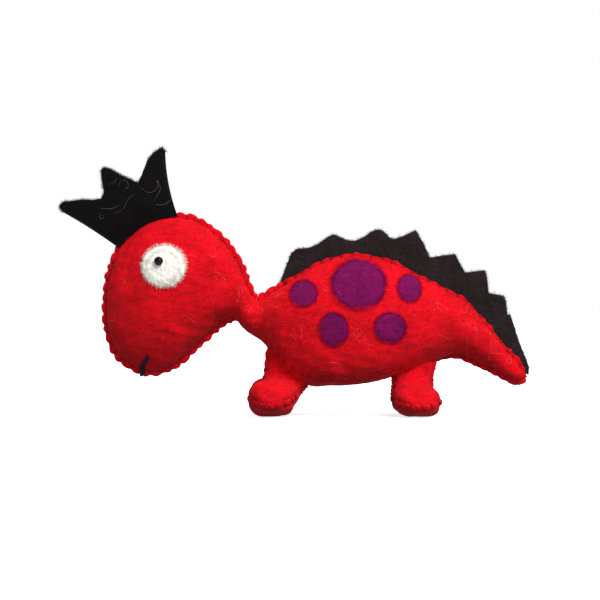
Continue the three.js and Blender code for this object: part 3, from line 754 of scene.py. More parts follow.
class PuppetSizes(bpy.types.PropertyGroup):
    felt: length_prop("Felt", "Thickness of the side panels and the gusset", 0.003)
    grid: length_prop("Grid", "Spacing of the points across a skin", 0.00095)
    lump: length_prop("Lumps", "How far the stuffing makes the felt uneven", 0.00035)
    groove: length_prop("Groove", "How deep the felt is drawn in along a seam", 0.0010)
    stitch_pitch: length_prop("Stitch pitch", "Distance between two whip stitches", 0.0058)
    yarn_radius: length_prop("Yarn radius", "Radius of the sewing yarn", 0.0005)
    scallop: length_prop("Scallop", "How far the edge bulges between two stitches", 0.0017)
    hair_length: length_prop("Hair length", "Length of the loose hairs on the felt", 0.0026)
    hairs: IntProperty(name="Hairs", description="Loose hairs on each part of the body", default=3600, min=0)


class PuppetColours(bpy.types.PropertyGroup):
    red: colour_prop("Red felt", "Head, body, tail and legs", (0.62, 0.0015, 0.0085))
    yarn: colour_prop("Red yarn", "Whip stitches along the seams", (0.42, 0.004, 0.012))
    black: colour_prop("Black felt", "Crown", (0.0013, 0.0011, 0.0016))
    brown: colour_prop("Brown felt", "Crest", (0.017, 0.0115, 0.0125))
    purple: colour_prop("Purple wool", "Spots", (0.15, 0.0012, 0.068))
    white: colour_prop("White wool", "Whites of the eyes", (0.95, 0.93, 0.86))
    mouth: colour_prop("Mouth yarn", "Stitch of the mouth", (0.022, 0.007, 0.014))
    filling: colour_prop("Filling", "Wool inside", (0.8, 0.75, 0.65))
    lining: colour_prop("Lining", "Cotton pocket for the fingers", (0.28, 0.01, 0.018))
    bead: colour_prop("Bead", "Pupils", (0.003, 0.003, 0.004))
    backdrop: colour_prop("Backdrop", "Floor", (0.93, 0.93, 0.93))


# ---- Builders ----

def rib_rows(start, end, step):
    """Rib numbers between two ribs, about step millimetres apart along the longer edge."""
    fine = np.linspace(start, end, 600)
    edges = np.stack([rail(LOW, fine), rail(HIGH, fine)])
    moved = np.linalg.norm(np.diff(edges, axis=1), axis=-1).max(axis=0)
    s = np.concatenate([[0], np.cumsum(moved)])
    return np.interp(np.linspace(0, s[-1], max(8, round(s[-1] / step) + 1)), s, fine)


def skin_grid(start, end, side, sizes, inset=None, most=0.45):
    """Points of a side panel between two ribs, from the seam with the gusset up to the back. With inset, the
    inner face: the bare surface moved in by that distance, or where the animal is thin by the share most of
    the room there is."""
    ribs = rib_rows(start, end, sizes.grid / MM)[:, None]
    share = np.linspace(0, 1, round(PANEL_HEIGHT / (sizes.grid / MM)))[None, :]
    angle = lerp(gusset_at(ribs), 90.0, share)
    if inset is None:
        return felt_surface(ribs, angle, side, sizes)
    low, high = rail(LOW, ribs), rail(HIGH, ribs)
    room = np.minimum(rail(HALF, ribs)[..., 0], np.linalg.norm(high - low, axis=-1) / 2)
    depth = np.minimum(inset, most * room + 0.05)
    return keep_aside(skin(ribs, angle, side) - skin_normal(ribs, angle, side) * depth[..., None], side)


def seam_path(ribs, angles):
    """Points along the middle of a seam in the plane of symmetry, with the outward direction there."""
    p = skin(ribs, angles, -1)
    p[..., 1] = 0
    out = square_off(unit(np.gradient(p, axis=0)))
    inward = upright(lerp(rail(LOW, ribs), rail(HIGH, ribs), 0.5)) - p
    flip = np.sign((out * inward).sum(-1).mean())
    return p, -out * flip


def flange(path, out, s, sizes, half=1.7, height=1.3, scallop=None, aside=0.0, lean=0.0, slit=0.7, sunk=2.2,
           taper=(3.0, 3.0), uneven=0.16):
    """The sewn edge of the felt, carried along a path: a rounded profile as high as the edge stands out, with
    a slit along its top between the two layers. It swells between stitches, as the root of a sine, and is
    pinched at each of them. aside shifts it from the path's plane, lean tips it away, and uneven is how much
    the swellings differ."""
    pitch = sizes.stitch_pitch / MM
    scallop = sizes.scallop / MM if scallop is None else scallop
    phase = stitch_phase(s, pitch)
    swell = np.abs(np.sin(np.pi * phase)) ** 0.6 * (1 + uneven * np.sin(1.7 * np.floor(phase) + 0.4))
    length = s - s.min()
    fade = smooth(length, 0, taper[0]) * (1 - smooth(length, length.max() - taper[1], length.max()))
    ahead = unit(np.gradient(path, axis=0))
    side = unit(np.cross(ahead, out))
    turn = circle(18)
    across, up = signed_power(np.cos(turn), 0.75), signed_power(np.sin(turn), 0.75)
    wide = (half * (0.72 + 0.3 * swell) * (0.25 + 0.75 * fade))[:, None] * across[None]
    top = ((height + scallop * swell) * fade - 0.6 * (1 - fade))[:, None]
    high = lerp(-sunk, top, (up[None] + 1) / 2)
    high = high - slit * fade[:, None] * np.exp(-(wide / 0.5) ** 2) * (up[None] > 0)
    wide = wide + aside + lean * np.maximum(high, 0)
    return path[:, None] + side[:, None] * wide[..., None] + out[:, None] * high[..., None]


def closed_tube(grid):
    """Points and faces of one tube given as a grid of rings."""
    return tubes(grid[None])


def stitches(path, out, s, sizes, half=1.7, height=1.3, aside=0.0, sunk=1.5, slant=1.5, trim=2.0):
    """Loops of yarn, one at each whole number of the stitch phase: each rises from one side of the sewn
    edge, goes over it and down the other side, slanting along the seam."""
    pitch = sizes.stitch_pitch / MM
    phase = stitch_phase(s, pitch)
    order = np.argsort(phase)
    inside = s[(s > s.min() + trim) & (s < s.max() - trim)]
    wanted = np.arange(math.ceil(stitch_phase(inside.min(), pitch)),
                       math.floor(stitch_phase(inside.max(), pitch)) + 1)
    at = np.interp(wanted, phase[order], s[order])
    turn = np.linspace(-1, 1, 9)
    along = at[:, None] + slant * turn[None] + 0.25 * np.sin(3.1 * at)[:, None]
    ahead = unit(np.gradient(path, axis=0))
    side = unit(np.cross(ahead, out))
    rise = np.argsort(s)

    def sample(a):
        return np.stack([np.interp(along, s[rise], a[rise, i]) for i in range(3)], axis=-1)

    wide = (half * 0.78 + 0.3) * np.sin(turn * np.pi / 2 * 1.08)
    high = -sunk + (height + sunk + 0.15) * np.cos(turn * np.pi / 2) ** 0.55
    lines = sample(path) + sample(side) * (wide + aside)[None, :, None] + sample(out) * high[None, :, None]
    return tubes(sweep(lines, sizes.yarn_radius / MM, 6))


def hair_lines(at, out, rng, length):
    """Centre lines of loose hairs: each starts just under the surface and runs off along it in a random
    direction, bending a little and lifting slowly."""
    many = len(at)
    heading = unit(np.cross(out, rng.normal(size=(many, 3))))
    curl = np.cross(out, heading) * (rng.normal(size=(many, 1)) * 0.5)
    t = np.linspace(0, 1, 5)[None, :, None]
    size = (length * rng.uniform(0.5, 1.3, many))[:, None, None]
    rise = (0.16 * rng.uniform(0.2, 1.6, many))[:, None, None]
    return (at[:, None] - 0.1 * out[:, None] + size * (heading[:, None] * t + curl[:, None] * t ** 2)
            + out[:, None] * size * rise * t ** 1.5)


def scatter(rng, many, start, end, side, sizes):
    """Up to many random points of a side panel, evenly over its area, and the outward directions there. A
    point is kept the more readily the more area a step of rib and angle covers at it."""
    rib = rng.uniform(start, end, 2 * many)
    angle = lerp(gusset_at(rib), 90.0, rng.uniform(0, 1, len(rib)))
    along = skin(rib + 0.02, angle, side) - skin(rib - 0.02, angle, side)
    over = skin(rib, angle + 0.5, side) - skin(rib, angle - 0.5, side)
    area = np.linalg.norm(np.cross(along, over), axis=-1)
    keep = np.flatnonzero(area > rng.uniform(0, 0.8 * area.max(), len(rib)))[:many]
    return felt_surface(rib[keep], angle[keep], side, sizes), skin_normal(rib[keep], angle[keep], side)


def hair_mesh(name, lines, key, radius):
    """A mesh of hairs that thin towards their tips, from their centre lines."""
    t = np.linspace(0, 1, lines.shape[1])
    taper = np.broadcast_to(radius * (1 - 0.8 * t ** 3), lines.shape[:2])
    return add_mesh(name, *tubes(sweep(lines, taper, 3)), finish_for(key), merge=False)


def curls(x, z, rng, long):
    """Side-view lines of long crinkled hairs from the points x, z: each turns steadily, faster or slower as
    it goes, so that some lie nearly straight and others in a ring."""
    t = np.linspace(0, 1, 24)[None]
    many = (len(x), 1)
    turn = rng.uniform(0, TAU, many) + rng.normal(0, 4, many) * t ** rng.uniform(0.6, 1.6, many)
    turn = turn + rng.normal(0, 0.4, many) * np.sin(rng.uniform(4, 9, many) * t)
    step = long * rng.uniform(0.5, 1.3, many) / t.size
    return (x[:, None] + np.cumsum(np.cos(turn) * step, axis=1),
            z[:, None] + np.cumsum(np.sin(turn) * step, axis=1))


def fringe(line, out, rng, many, length):
    """Centre lines of short hairs that stand out from random points of an edge, scattered round the outward
    direction and curling a little."""
    i = rng.integers(0, len(line), many)
    heading = unit(out[i] + 0.6 * rng.normal(size=(many, 3)))
    curl = np.cross(heading, rng.normal(size=(many, 3))) * 0.4
    t = np.linspace(0, 1, 6)[None, :, None]
    size = (length * rng.uniform(0.25, 1.25, many) ** 1.5)[:, None, None]
    root = 0.35  # length inside the edge
    start = line[i] - root * out[i]
    return start[:, None] + (size + root) * heading[:, None] * t + size * curl[:, None] * t ** 2


def edge_out(line, middle):
    """Directions square to a line in the side view, pointing away from the point middle."""
    out = unit(square_off(unit(np.gradient(line, axis=0))))
    return out * np.where(((line - middle) * out).sum(-1, keepdims=True) < 0, -1, 1)


def on_side(x, z, side, sizes, lift):
    """Points of the felt at x and z of the side view, raised by lift, and the outward directions there."""
    rib, angle = locate(x, z)
    normal = skin_normal(rib, angle, side)
    return felt_surface(rib, angle, side, sizes) + normal * lift, normal


def ellipse(outline, share, turn):
    """x and z at a share of the way from the middle of an elliptic outline to its edge."""
    return (outline["x"] + outline["rx"] * share * np.cos(turn),
            outline["z"] + outline["rz"] * share * np.sin(turn))


def resized(outline, rx, rz):
    """The same elliptic outline with other half axes."""
    return {**outline, "rx": rx, "rz": rz}


def rim_hairs(outline, side, sizes, rng, many, length, lift, spread=0.35):
    """Short hairs round the edge of a felted patch, lying along the felt and mostly pointing away from the
    patch, or in over it where length is negative."""
    turn = rng.uniform(0, TAU, many)
    share = rng.uniform(0.86, 1.0, many)
    at, normal = on_side(*ellipse(outline, share, turn), side, sizes, lift)
    away = np.stack([np.cos(turn), np.zeros(many), np.sin(turn)], axis=-1)
    away = away + spread * rng.normal(size=(many, 3))
    heading = unit(away - (away * normal).sum(-1, keepdims=True) * normal)
    t = np.linspace(0, 1, 6)[None, :, None]
    size = (length * rng.uniform(0.4, 1.2, many))[:, None, None]
    curl = np.cross(normal, heading) * rng.normal(0, 0.3, (many, 1))
    sink = normal * lift * 0.7
    return at[:, None] + size * (heading[:, None] * t + curl[:, None] * t ** 2) - sink[:, None] * t ** 2


def patch(outline, side, sizes, tall, uneven, seed, edge=6.0, rings=16, around=72):
    """A felted patch on the side of the animal: a round grid whose outline is an ellipse with a slightly
    uneven radius. Its top stands tall in the middle and rolls under the surface at the edge."""
    rho = np.linspace(0, 1, rings)[:, None]
    turn = circle(around)[None]
    rng = np.random.default_rng(seed)
    ripple = sum(rng.normal() * uneven / k ** 0.6 * np.sin(k * turn + rng.uniform(0, TAU))
                 for k in (2, 3, 5, 8, 13))
    rib, angle = locate(*ellipse(outline, rho * (1 + ripple * rho), turn))
    base, normal = felt_surface(rib, angle, side, sizes), skin_normal(rib, angle, side)
    bumps = 0.12 * lumps(base, 3.0, seed + 20)
    height = (tall + bumps) * (1 - rho ** edge) ** 0.5 - 0.15 * rho ** edge
    return slab(base + normal * height[..., None], base - normal * PATCH_ROOT, wrap_cols=True)


# ---- Operators ----

class PuppetStep:
    """What every step of the making shares: it makes its pieces with the sizes of the scene."""

    bl_options = {"REGISTER", "UNDO"}

    def execute(self, context):
        self.make(context.scene.puppet_sizes)
        return {"FINISHED"}


class PUPPET_OT_stage(PuppetStep, bpy.types.Operator):
    """Adds the camera, the pale floor and the soft lights"""

    bl_idname = "puppet.stage"
    bl_label = "Stage and camera"

    def make(self, sizes):
        scene = bpy.context.scene
        camera = bpy.data.objects.new("camera", bpy.data.cameras.new("camera"))
        scene.collection.objects.link(camera)
        camera.data.sensor_width = SENSOR
        camera.data.lens = LENS
        camera.location = (VIEW_X * MM, -VIEW_FROM * MM, VIEW_Z * MM)
        camera.rotation_euler = (math.pi / 2, 0, 0)
        scene.camera = camera

        floor_z = min(CAD_BOX[0].z, 0)
        mesh = bpy.data.meshes.new("floor")
        mesh.from_pydata([(x * FLOOR_REACH, y * FLOOR_REACH, floor_z)
                          for x, y in ((-1, -1), (1, -1), (1, 3), (-1, 3))], [], [(0, 1, 2, 3)])
        mesh.materials.append(finish_for("backdrop"))
        floor = bpy.data.objects.new("floor", mesh)
        scene.collection.objects.link(floor)
        floor.visible_diffuse = False

        for name, toward_floor, softness, strength, tint in LAMPS:
            lamp = bpy.data.lights.new(name, "SUN")
            lamp.angle, lamp.energy, lamp.color = math.radians(softness), strength, tint
            light = bpy.data.objects.new(name, lamp)
            light.rotation_euler = Vector(toward_floor).to_track_quat("-Z", "Y").to_euler()
            scene.collection.objects.link(light)
        self.world(scene)
        scene.view_settings.view_transform = "Standard"

    @staticmethod
    def world(scene):
        """White where the camera sees it, and for the light brighter from above than from below."""
        world = bpy.data.worlds.new("studio")
        scene.world = world
        world.use_nodes = True
        nodes, links = world.node_tree.nodes, world.node_tree.links
        nodes.clear()
        seen, lit, where, split, grade, either, ray, out = (nodes.new("ShaderNode" + kind) for kind in (
            "Background", "Background", "TexCoord", "SeparateXYZ", "MapRange", "MixShader", "LightPath",
            "OutputWorld"))
        seen.inputs[0].default_value = (1, 1, 1, 1)
        for i, value in enumerate((-1.0, 1.0, WORLD_LOW, WORLD_HIGH), 1):
            grade.inputs[i].default_value = value
        for source, target in (
                (where.outputs["Generated"], split.inputs[0]), (split.outputs["Z"], grade.inputs[0]),
                (grade.outputs[0], lit.inputs[1]), (ray.outputs["Is Camera Ray"], either.inputs[0]),
                (lit.outputs[0], either.inputs[1]), (seen.outputs[0], either.inputs[2]),
                (either.outputs[0], out.inputs[0])):
            links.new(source, target)


class PUPPET_OT_skins(PuppetStep, bpy.types.Operator):
    """Makes the stuffed side panels of the head, the body and the tail"""

    bl_idname = "puppet.skins"
    bl_label = "Side panels"

    PARTS = (("head", 0, NECK_RIB, "head", ("head_{}_panel",)),
             ("front", NECK_RIB, MID_RIB, "front", ("neck_{}_panel", "body_{}_panel")),
             ("rear", MID_RIB, LAST_RIB, "rear", ("tail_{}_panel",)))

    def make(self, sizes):
        for hand, side in HANDS:
            for part, start, end, joint, stands_for in self.PARTS:
                outer = skin_grid(start, end, side, sizes)
                inner = skin_grid(start, end, side, sizes, inset=sizes.felt / MM)
                obj = add_mesh(f"{part}_{hand}_felt", *slab(outer, inner), finish_for("red felt"),
                               crease=True)
                bend(obj)
                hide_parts(*[n.format(hand) for n in stands_for])


class PUPPET_OT_gusset(PuppetStep, bpy.types.Operator):
    """Makes the underbody gusset with its finger hole, and the lined pocket above it"""

    bl_idname = "puppet.gusset"
    bl_label = "Gusset and pocket"

    def make(self, sizes):
        around, rings = 260, 34
        ribs = np.linspace(NECK_RIB, 20, 400)
        edge = skin(ribs, gusset_at(ribs), 1)[:, :2]
        outline = np.concatenate([edge, edge[::-1] * [1, -1]])
        swing = np.unwrap(np.arctan2(outline[:, 1] / SLOT["ry"], (outline[:, 0] - SLOT["x"]) / SLOT["rx"]))
        turn = circle(around)
        rise = np.argsort(swing)
        far = np.stack([np.interp(turn, swing[rise], outline[rise, i], period=TAU) for i in (0, 1)], axis=-1)
        near = np.stack(slot_edge(turn), axis=-1)
        share = np.linspace(0, 1, rings)[:, None, None]
        flat = lerp(near[None], far[None], share ** 0.9)
        rib, angle = locate_under(flat[..., 0], flat[..., 1])
        side = np.where(flat[..., 1] < 0, -1.0, 1.0)
        base, normal = skin(rib, angle, 1), skin_normal(rib, angle, 1)
        to_seam = np.linalg.norm(flat - far[None], axis=-1)
        drop = stuffing_lumps(base, sizes) - sizes.groove / MM * np.exp(-(to_seam / SEAM_REACH) ** 2)
        outer, inner = base + normal * drop[..., None], base - normal * (sizes.felt / MM)
        for shape in (outer, inner):
            shape[..., 1] *= side
        hem = outer[0] + (inner[0] - outer[0]) * 0.5 + unit(
            np.append(near - [SLOT["x"], 0], np.zeros((around, 1)), axis=1)) * -0.5
        outer = np.concatenate([(hem * 0.5 + outer[0] * 0.5)[None], outer])
        inner = np.concatenate([hem[None], inner])
        obj = add_mesh("belly_gusset_felt", *slab(outer, inner, wrap_cols=True), finish_for("red felt"))
        bend(obj)
        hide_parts("belly_gusset")

        rows = np.concatenate([np.linspace(0, 5, 40), 5 + 2 * np.sin(np.linspace(0.1, np.pi / 2, 16))])
        path = rail(POCKET, rows)
        up = path[:, :1]
        turn = circle(96)[None]
        rim = skin(*locate_under(*slot_edge(turn[0])), 1)[:, 2] + 1.6
        fold = 1 + 0.016 * np.sin(7 * turn + 0.4) * smooth(up, 20, 40) + 0.01 * np.sin(12 * turn + 2)
        radius = np.maximum(path[:, 1:2], 0) * fold

        def wall(grow):
            x = SLOT["x"] + (SLOT["rx"] + grow) * radius * np.cos(turn)
            y = (SLOT["ry"] + grow) * radius * np.sin(turn)
            z = up + grow * (up > 50) + (rim[None] - up[0]) * (1 - smooth(up, 19, 42))
            return np.stack([x, y, z], axis=-1)

        inner, outer = wall(0.0), wall(0.9)
        obj = add_mesh("pocket_lining_cloth", *slab(outer, inner, wrap_cols=True), finish_for("lining"))
        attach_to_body(obj, "trunk")
        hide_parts("pocket_lining")


def toe_rows(count, start=0.0):
    """Shares of a leg's path that crowd together towards the toe, as the sine of an angle does."""
    body = max(6, round(count * 0.6))
    return np.concatenate([np.linspace(start, TOE_FROM, body, endpoint=False),
                           TOE_FROM + (1 - TOE_FROM) * np.sin(np.linspace(0, np.pi / 2, count - body))])


def leg_grid(pair, side, t, turn, sizes, inset=0.0, seams=True):
    """The stuffed felt of a leg: ellipses across its path, a little square at the foot and longer towards the
    belly, rounded off at the toe as a dome, flattened where the sole stands on the ground, and drawn in at
    each stitch of the seam."""
    centre, wide, thick, back = leg_line(pair, t, side)
    down, across, through = leg_frame(pair, t, side)
    toe = np.clip((t - TOE_FROM) / (1 - TOE_FROM), 0, 1)
    dome = np.sqrt(np.clip(1 - toe ** 2, 0, 1))
    square = lerp(1.0, 0.74, smooth(t, 0.4, 0.65))[:, None, None]
    c, s = (signed_power(way(turn)[None, :, None], square) for way in (np.cos, np.sin))
    wide, thick = ((wide - inset) * dome)[:, None, None], ((thick - inset) * dome)[:, None, None]
    wide = wide + (np.maximum(back, 0) * dome)[:, None, None] * (c > 0)
    at = centre[:, None] + across[:, None] * wide * c + through[:, None] * thick * s
    out = unit(across[:, None] * c / np.maximum(wide, 1) + through[:, None] * s / np.maximum(thick, 1)
               + down[:, None] * (toe ** 2 * 0.12)[:, None, None])
    if inset == 0 and seams:
        length = arc_length(centre)
        to_seam = np.abs(s[..., 0]) * thick[..., 0]
        pinch = np.abs(np.cos(np.pi * stitch_phase(length, sizes.stitch_pitch / MM)))[:, None] ** 3
        depth = sizes.groove / MM * (0.35 * np.exp(-(to_seam / 2.0) ** 2)
                                     + 1.5 * pinch * np.exp(-((to_seam - 1.2) / 1.5) ** 2))
        depth = depth * dome[:, None] - 0.3 * lumps(at, 9, 8)
        at = at - out * depth[..., None]
    ground = 0.1 + inset
    at[..., 2] = ground + (at[..., 2] - ground + np.sqrt((at[..., 2] - ground) ** 2 + 0.5)) / 2
    return at


class PUPPET_OT_legs(PuppetStep, bpy.types.Operator):
    """Makes the four stuffed legs, each of an upper and an under layer sewn round the foot"""

    bl_idname = "puppet.legs"
    bl_label = "Legs"

    def make(self, sizes):
        t = toe_rows(84)
        turn = circle(96)
        for pair in PAIRS:
            for hand, side in HANDS:
                outer = leg_grid(pair, side, t, turn, sizes)
                inner = leg_grid(pair, side, t * 0.955, turn, sizes, inset=min(sizes.felt / MM, 3))
                obj = add_mesh(f"{pair}_{hand}_leg_felt", *slab(outer, inner, wrap_cols=True),
                               finish_for("red felt"))
                leg_bend(obj)
                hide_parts(f"{pair}_{hand}_leg_outer", f"{pair}_{hand}_leg_inner")
                core = leg_grid(pair, side, t[t < 0.95] * 0.93 + 0.02, turn, sizes,
                                inset=sizes.felt / MM + 0.6)
                core = add_mesh(f"{pair}_{hand}_leg_wool", *closed_tube(core), finish_for("filling"))
                leg_bend(core)
                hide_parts(f"{pair}_{hand}_leg_stuffing")


def leg_seam(pair, side, sizes):
    """The line round a foot from the front of the leg over the toe to its back, the outward directions there
    and the length along it."""
    t = toe_rows(60, SEAM_START)
    ring = leg_grid(pair, side, t, np.array([np.pi, 0.0]), sizes, seams=False)
    path = resample(np.concatenate([ring[:, 0], ring[-2::-1, 1]]), 150)
    there_and_back = np.interp(np.linspace(0, 1, 150), [0, 0.5, 1], [SEAM_START, 1, SEAM_START])
    _, _, through = leg_frame(pair, there_and_back, side)
    out = unit(np.cross(through, unit(np.gradient(path, axis=0))))
    if ((path - path.mean(axis=0)) * out).sum() < 0:
        out = -out
    return path, out, arc_length(path)


class PUPPET_OT_seams(PuppetStep, bpy.types.Operator):
    """Sews the edges: the scalloped felt along each seam and the whip stitches over it"""

    bl_idname = "puppet.seams"
    bl_label = "Seams and stitches"

    @staticmethod
    def seam(sizes, name, line, attach, stands_for, edge, loops):
        """The edge and the stitches along a line of points, outward directions and lengths."""
        ridge = add_mesh(f"{name}_edge", *closed_tube(flange(*line, sizes, **edge)), finish_for("red felt"))
        attach(ridge)
        thread = add_mesh(f"{name}_stitches", *stitches(*line, sizes, **loops), finish_for("red yarn"),
                          merge=False)
        attach(thread)
        if stands_for:
            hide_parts(*stands_for)

    def make(self, sizes):
        upper = np.linspace(NECK_RIB, 0, 420)
        lower = np.linspace(0, NECK_RIB, 420)[1:]
        angles = np.concatenate([np.full(len(upper), 90.0), np.full(len(lower), -90.0)])
        path, out = seam_path(np.concatenate([upper, lower]), angles)
        s = np.concatenate([-np.interp(upper, FINE_RIBS, UPPER_LENGTH),
                            np.interp(lower, FINE_RIBS, LOWER_LENGTH)])
        keep = s < np.interp(9.5, FINE_RIBS, LOWER_LENGTH)
        self.seam(sizes, "head_seam", (path[keep], out[keep], s[keep]), lambda o: bend(o),
                  ["head_seam_thread"], {"taper": (0.01, 5.0)}, {"trim": 1.0})

        ribs = np.linspace(NECK_RIB, CREST_FROM + 0.6, 90)
        s = -np.interp(ribs, FINE_RIBS, UPPER_LENGTH)
        self.seam(sizes, "neck_seam", (*seam_path(ribs, 90.0), s), lambda o: bend(o), [],
                  {"taper": (4.0, 0.01)}, {"trim": 1.0})

        ribs = np.linspace(19.6, 24.97, 260)
        s = np.interp(ribs, FINE_RIBS, LOWER_LENGTH)
        self.seam(sizes, "tail_seam", (*seam_path(ribs, -90.0), s), lambda o: bend(o),
                  ["tail_seam_thread"], {"half": 1.4, "scallop": 1.0, "slit": 0.25, "taper": (5.0, 2.0)},
                  {"half": 1.4})

        ribs = np.linspace(CREST_FROM, 24.7, 700)
        back = (*seam_path(ribs, 90.0), np.interp(ribs, FINE_RIBS, UPPER_LENGTH))
        under = np.linspace(NECK_RIB + 1.6, 19.8, 500)
        angle = gusset_at(under)
        for hand, side in HANDS:
            shift = -side * (CREST_THICK / 2 + 0.85)
            self.seam(sizes, f"crest_{hand}_seam", back, lambda o: bend(o),
                      [f"back_seam_thread_{hand}", f"tail_crest_thread_{hand}"],
                      {"half": 1.25, "height": 0.1, "scallop": 1.2, "aside": shift, "slit": 0.0,
                       "lean": -side * 0.25, "uneven": 0.55},
                      {"half": 1.2, "height": 0.6, "aside": shift * 1.05, "sunk": 1.1, "slant": 1.1})

            line = (felt_surface(under, angle, side, sizes), skin_normal(under, angle, side),
                    np.interp(under, FINE_RIBS, LOWER_LENGTH))
            self.seam(sizes, f"belly_{hand}_seam", line, lambda o: bend(o),
                      [f"belly_seam_thread_{hand}"],
                      {"half": 1.0, "height": 0.15, "scallop": 0.4, "slit": 0.3, "sunk": 1.2},
                      {"half": 1.1, "height": 0.25, "sunk": 0.9, "slant": 1.2})

            for pair in PAIRS:
                self.seam(sizes, f"{pair}_{hand}_leg_seam", leg_seam(pair, side, sizes),
                          lambda o, p=pair, h=hand: leg_bend(o), [f"{pair}_{hand}_leg_thread"],
                          {"half": 1.5, "height": -0.2, "scallop": 0.75, "slit": 0.3,
                           "taper": (3.0, 34.0 if pair == "front" else 3.0)},
                          {"half": 1.7, "height": 0.15, "trim": 6.0})

        x, y = slot_edge(circle(240))
        rim = skin(*locate_under(x, y), 1)
        rim[:, 1] *= np.where(y < 0, -1, 1)
        rim = rim + [0, 0, 2.0]
        inward = unit(np.stack([SLOT["x"] - x, -y, np.zeros(len(x))], axis=-1))
        loops = stitches(rim, inward, arc_length(rim), sizes, half=1.1, height=0.2, sunk=2.0, trim=0.5)
        obj = add_mesh("finger_hole_stitches", *loops, finish_for("red yarn"), merge=False)
        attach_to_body(obj, "trunk")


class PUPPET_OT_crest(PuppetStep, bpy.types.Operator):
    """Cuts the serrated crest out of thick brown felt and sets it in the back seam"""

    bl_idname = "puppet.crest"
    bl_label = "Crest"

    def make(self, sizes):
        columns = 560
        even = np.linspace(0, 1, columns)
        top = resample(CREST, columns)
        rise = resample(skin(np.linspace(11.9, 24.75, 400), 90.0, -1)[:, [0, 2]], columns)
        share = arc_length(top)
        share /= share[-1]
        flow = np.interp(top[:, 0], rise[:, 0], even)
        flow = np.maximum.accumulate(lerp(flow, share, 0.35))
        flow = (flow - flow[0]) / (flow[-1] - flow[0])
        foot = np.stack([np.interp(flow, even, rise[:, i]) for i in (0, 1)], axis=-1)
        foot = foot + (foot - top) / np.maximum(np.linalg.norm(foot - top, axis=1, keepdims=True), 1) * 2.0
        q = np.linspace(0, 1, 30)[None, :, None]
        plane = upright(lerp(foot[:, None], top[:, None], q))
        wave = 0.5 * lumps(plane, 34, 11) * q[..., 0] ** 1.5
        edge = np.minimum(1, (1 - q[..., 0]) * np.linalg.norm(top - foot, axis=1)[:, None] / 1.2)
        rounded = 0.55 + 0.45 * np.sqrt(1 - (1 - np.clip(edge, 0, 1)) ** 2)
        half = CREST_THICK / 2 * rounded * (0.94 + 0.08 * lumps(plane, 5, 12))
        left, right = plane.copy(), plane.copy()
        left[..., 1] = wave - half
        right[..., 1] = wave + half
        obj = add_mesh("crest_felt", *slab(left, right), finish_for("brown felt"))
        bend(obj)
        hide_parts("back_crest", "tail_crest")

        rng = np.random.default_rng(90)
        line = plane[:, -1] + wave[:, -1:] * [0, 1, 0]
        for name, many, length, key in (("fuzz", 2600, 1.1, "brown hair"), ("wisps", 130, 2.2, "grey hair")):
            lines = fringe(line, edge_out(line, np.array([60.0, 0, 40])), rng, many, length)
            fur = hair_mesh(f"crest_{name}", lines, key, 0.07)
            bend(fur)


def crown_panel(side, sizes):
    """The outer and the inner face of a crown panel: straight lines from its foot on the head to its pointed
    top edge, cupped round the head and a little less so towards the points."""
    columns, rows = 260, 44
    top, foot = resample(CROWN_TOP, columns), resample(CROWN_FOOT, columns)
    p = np.linspace(0, 1, columns)[:, None]
    q = np.linspace(0, 1, rows)[None, :]
    flat = lerp(foot[:, None], top[:, None], q[..., None])
    bow = 4 * q * (1 - q)
    flat[..., 0] += bow * (-1.6 * p ** 6)
    flat[..., 1] += bow * (0.7 * (1 - p) ** 8)
    rest = np.abs(felt_surface(*locate(foot[:, 0], foot[:, 1]), -1, sizes)[:, 1])[:, None]
    rest = np.maximum(rest, 1.0)
    cup = 0.5 + 9.2 * (4 * p * (1 - p)) ** 0.7
    out = lerp(rest + 1.5, cup + CROWN_THICK, smooth(q, 0, 0.45)) * (1 - 0.12 * q)
    plane = upright(flat)
    out = np.maximum(out + 0.35 * lumps(plane, 26, 31 + side) * smooth(q, 0.1, 0.6), CROWN_THICK + 0.15)
    to_edge = np.minimum((1 - q) * np.linalg.norm(top - foot, axis=1)[:, None],
                         np.minimum(p, 1 - p) * 34 + 0.3)
    thin = CROWN_THICK * (1 - 0.5 * np.exp(-(to_edge / 0.7) ** 2)) * (1 + 0.05 * lumps(plane, 4, 33))
    outer, inner = plane.copy(), plane.copy()
    outer[..., 1] = side * (out - (CROWN_THICK - thin) / 2)
    inner[..., 1] = side * (out - CROWN_THICK + (CROWN_THICK - thin) / 2)
    return outer, inner


class PUPPET_OT_crown(PuppetStep, bpy.types.Operator):
    """Makes the two cupped crown panels"""

    bl_idname = "puppet.crown"
    bl_label = "Crown"

    def make(self, sizes):
        for hand, side in HANDS:
            outer, inner = crown_panel(side, sizes)
            obj = add_mesh(f"crown_{hand}_felt", *slab(outer, inner), finish_for("black felt"))
            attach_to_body(obj, "head")
            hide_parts(f"crown_{hand}_panel")

            rng = np.random.default_rng(80 + side)
            line = (outer[:, -1] + inner[:, -1]) / 2
            out = edge_out(line, line.mean(axis=0) - [-8, 0, 16])
            x, z = rng.uniform(-112, -74, 16), rng.uniform(112, 134, 16)
            x, z = curls(x, z, rng, 13)
            face = outer[::3, ::2].reshape(-1, 3)
            near = np.argmin((x[..., None] - face[:, 0]) ** 2 + (z[..., None] - face[:, 2]) ** 2, axis=-1)
            off = np.hypot(x - face[near, 0], z - face[near, 2]).max(axis=1) < 1.6
            rings = np.stack([x, face[near, 1] + side * 0.2, z], axis=-1)[off]
            for name, lines, key, radius in (
                    ("fuzz", fringe(line, out, rng, 1500, 1.2), "brown hair", 0.07),
                    ("wisps", fringe(line, out, rng, 70, 2.6), "pale hair", 0.06),
                    ("curls", rings, "grey hair", 0.08)):
                fur = hair_mesh(f"crown_{hand}_{name}", lines, key, radius)
                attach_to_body(fur, "head")


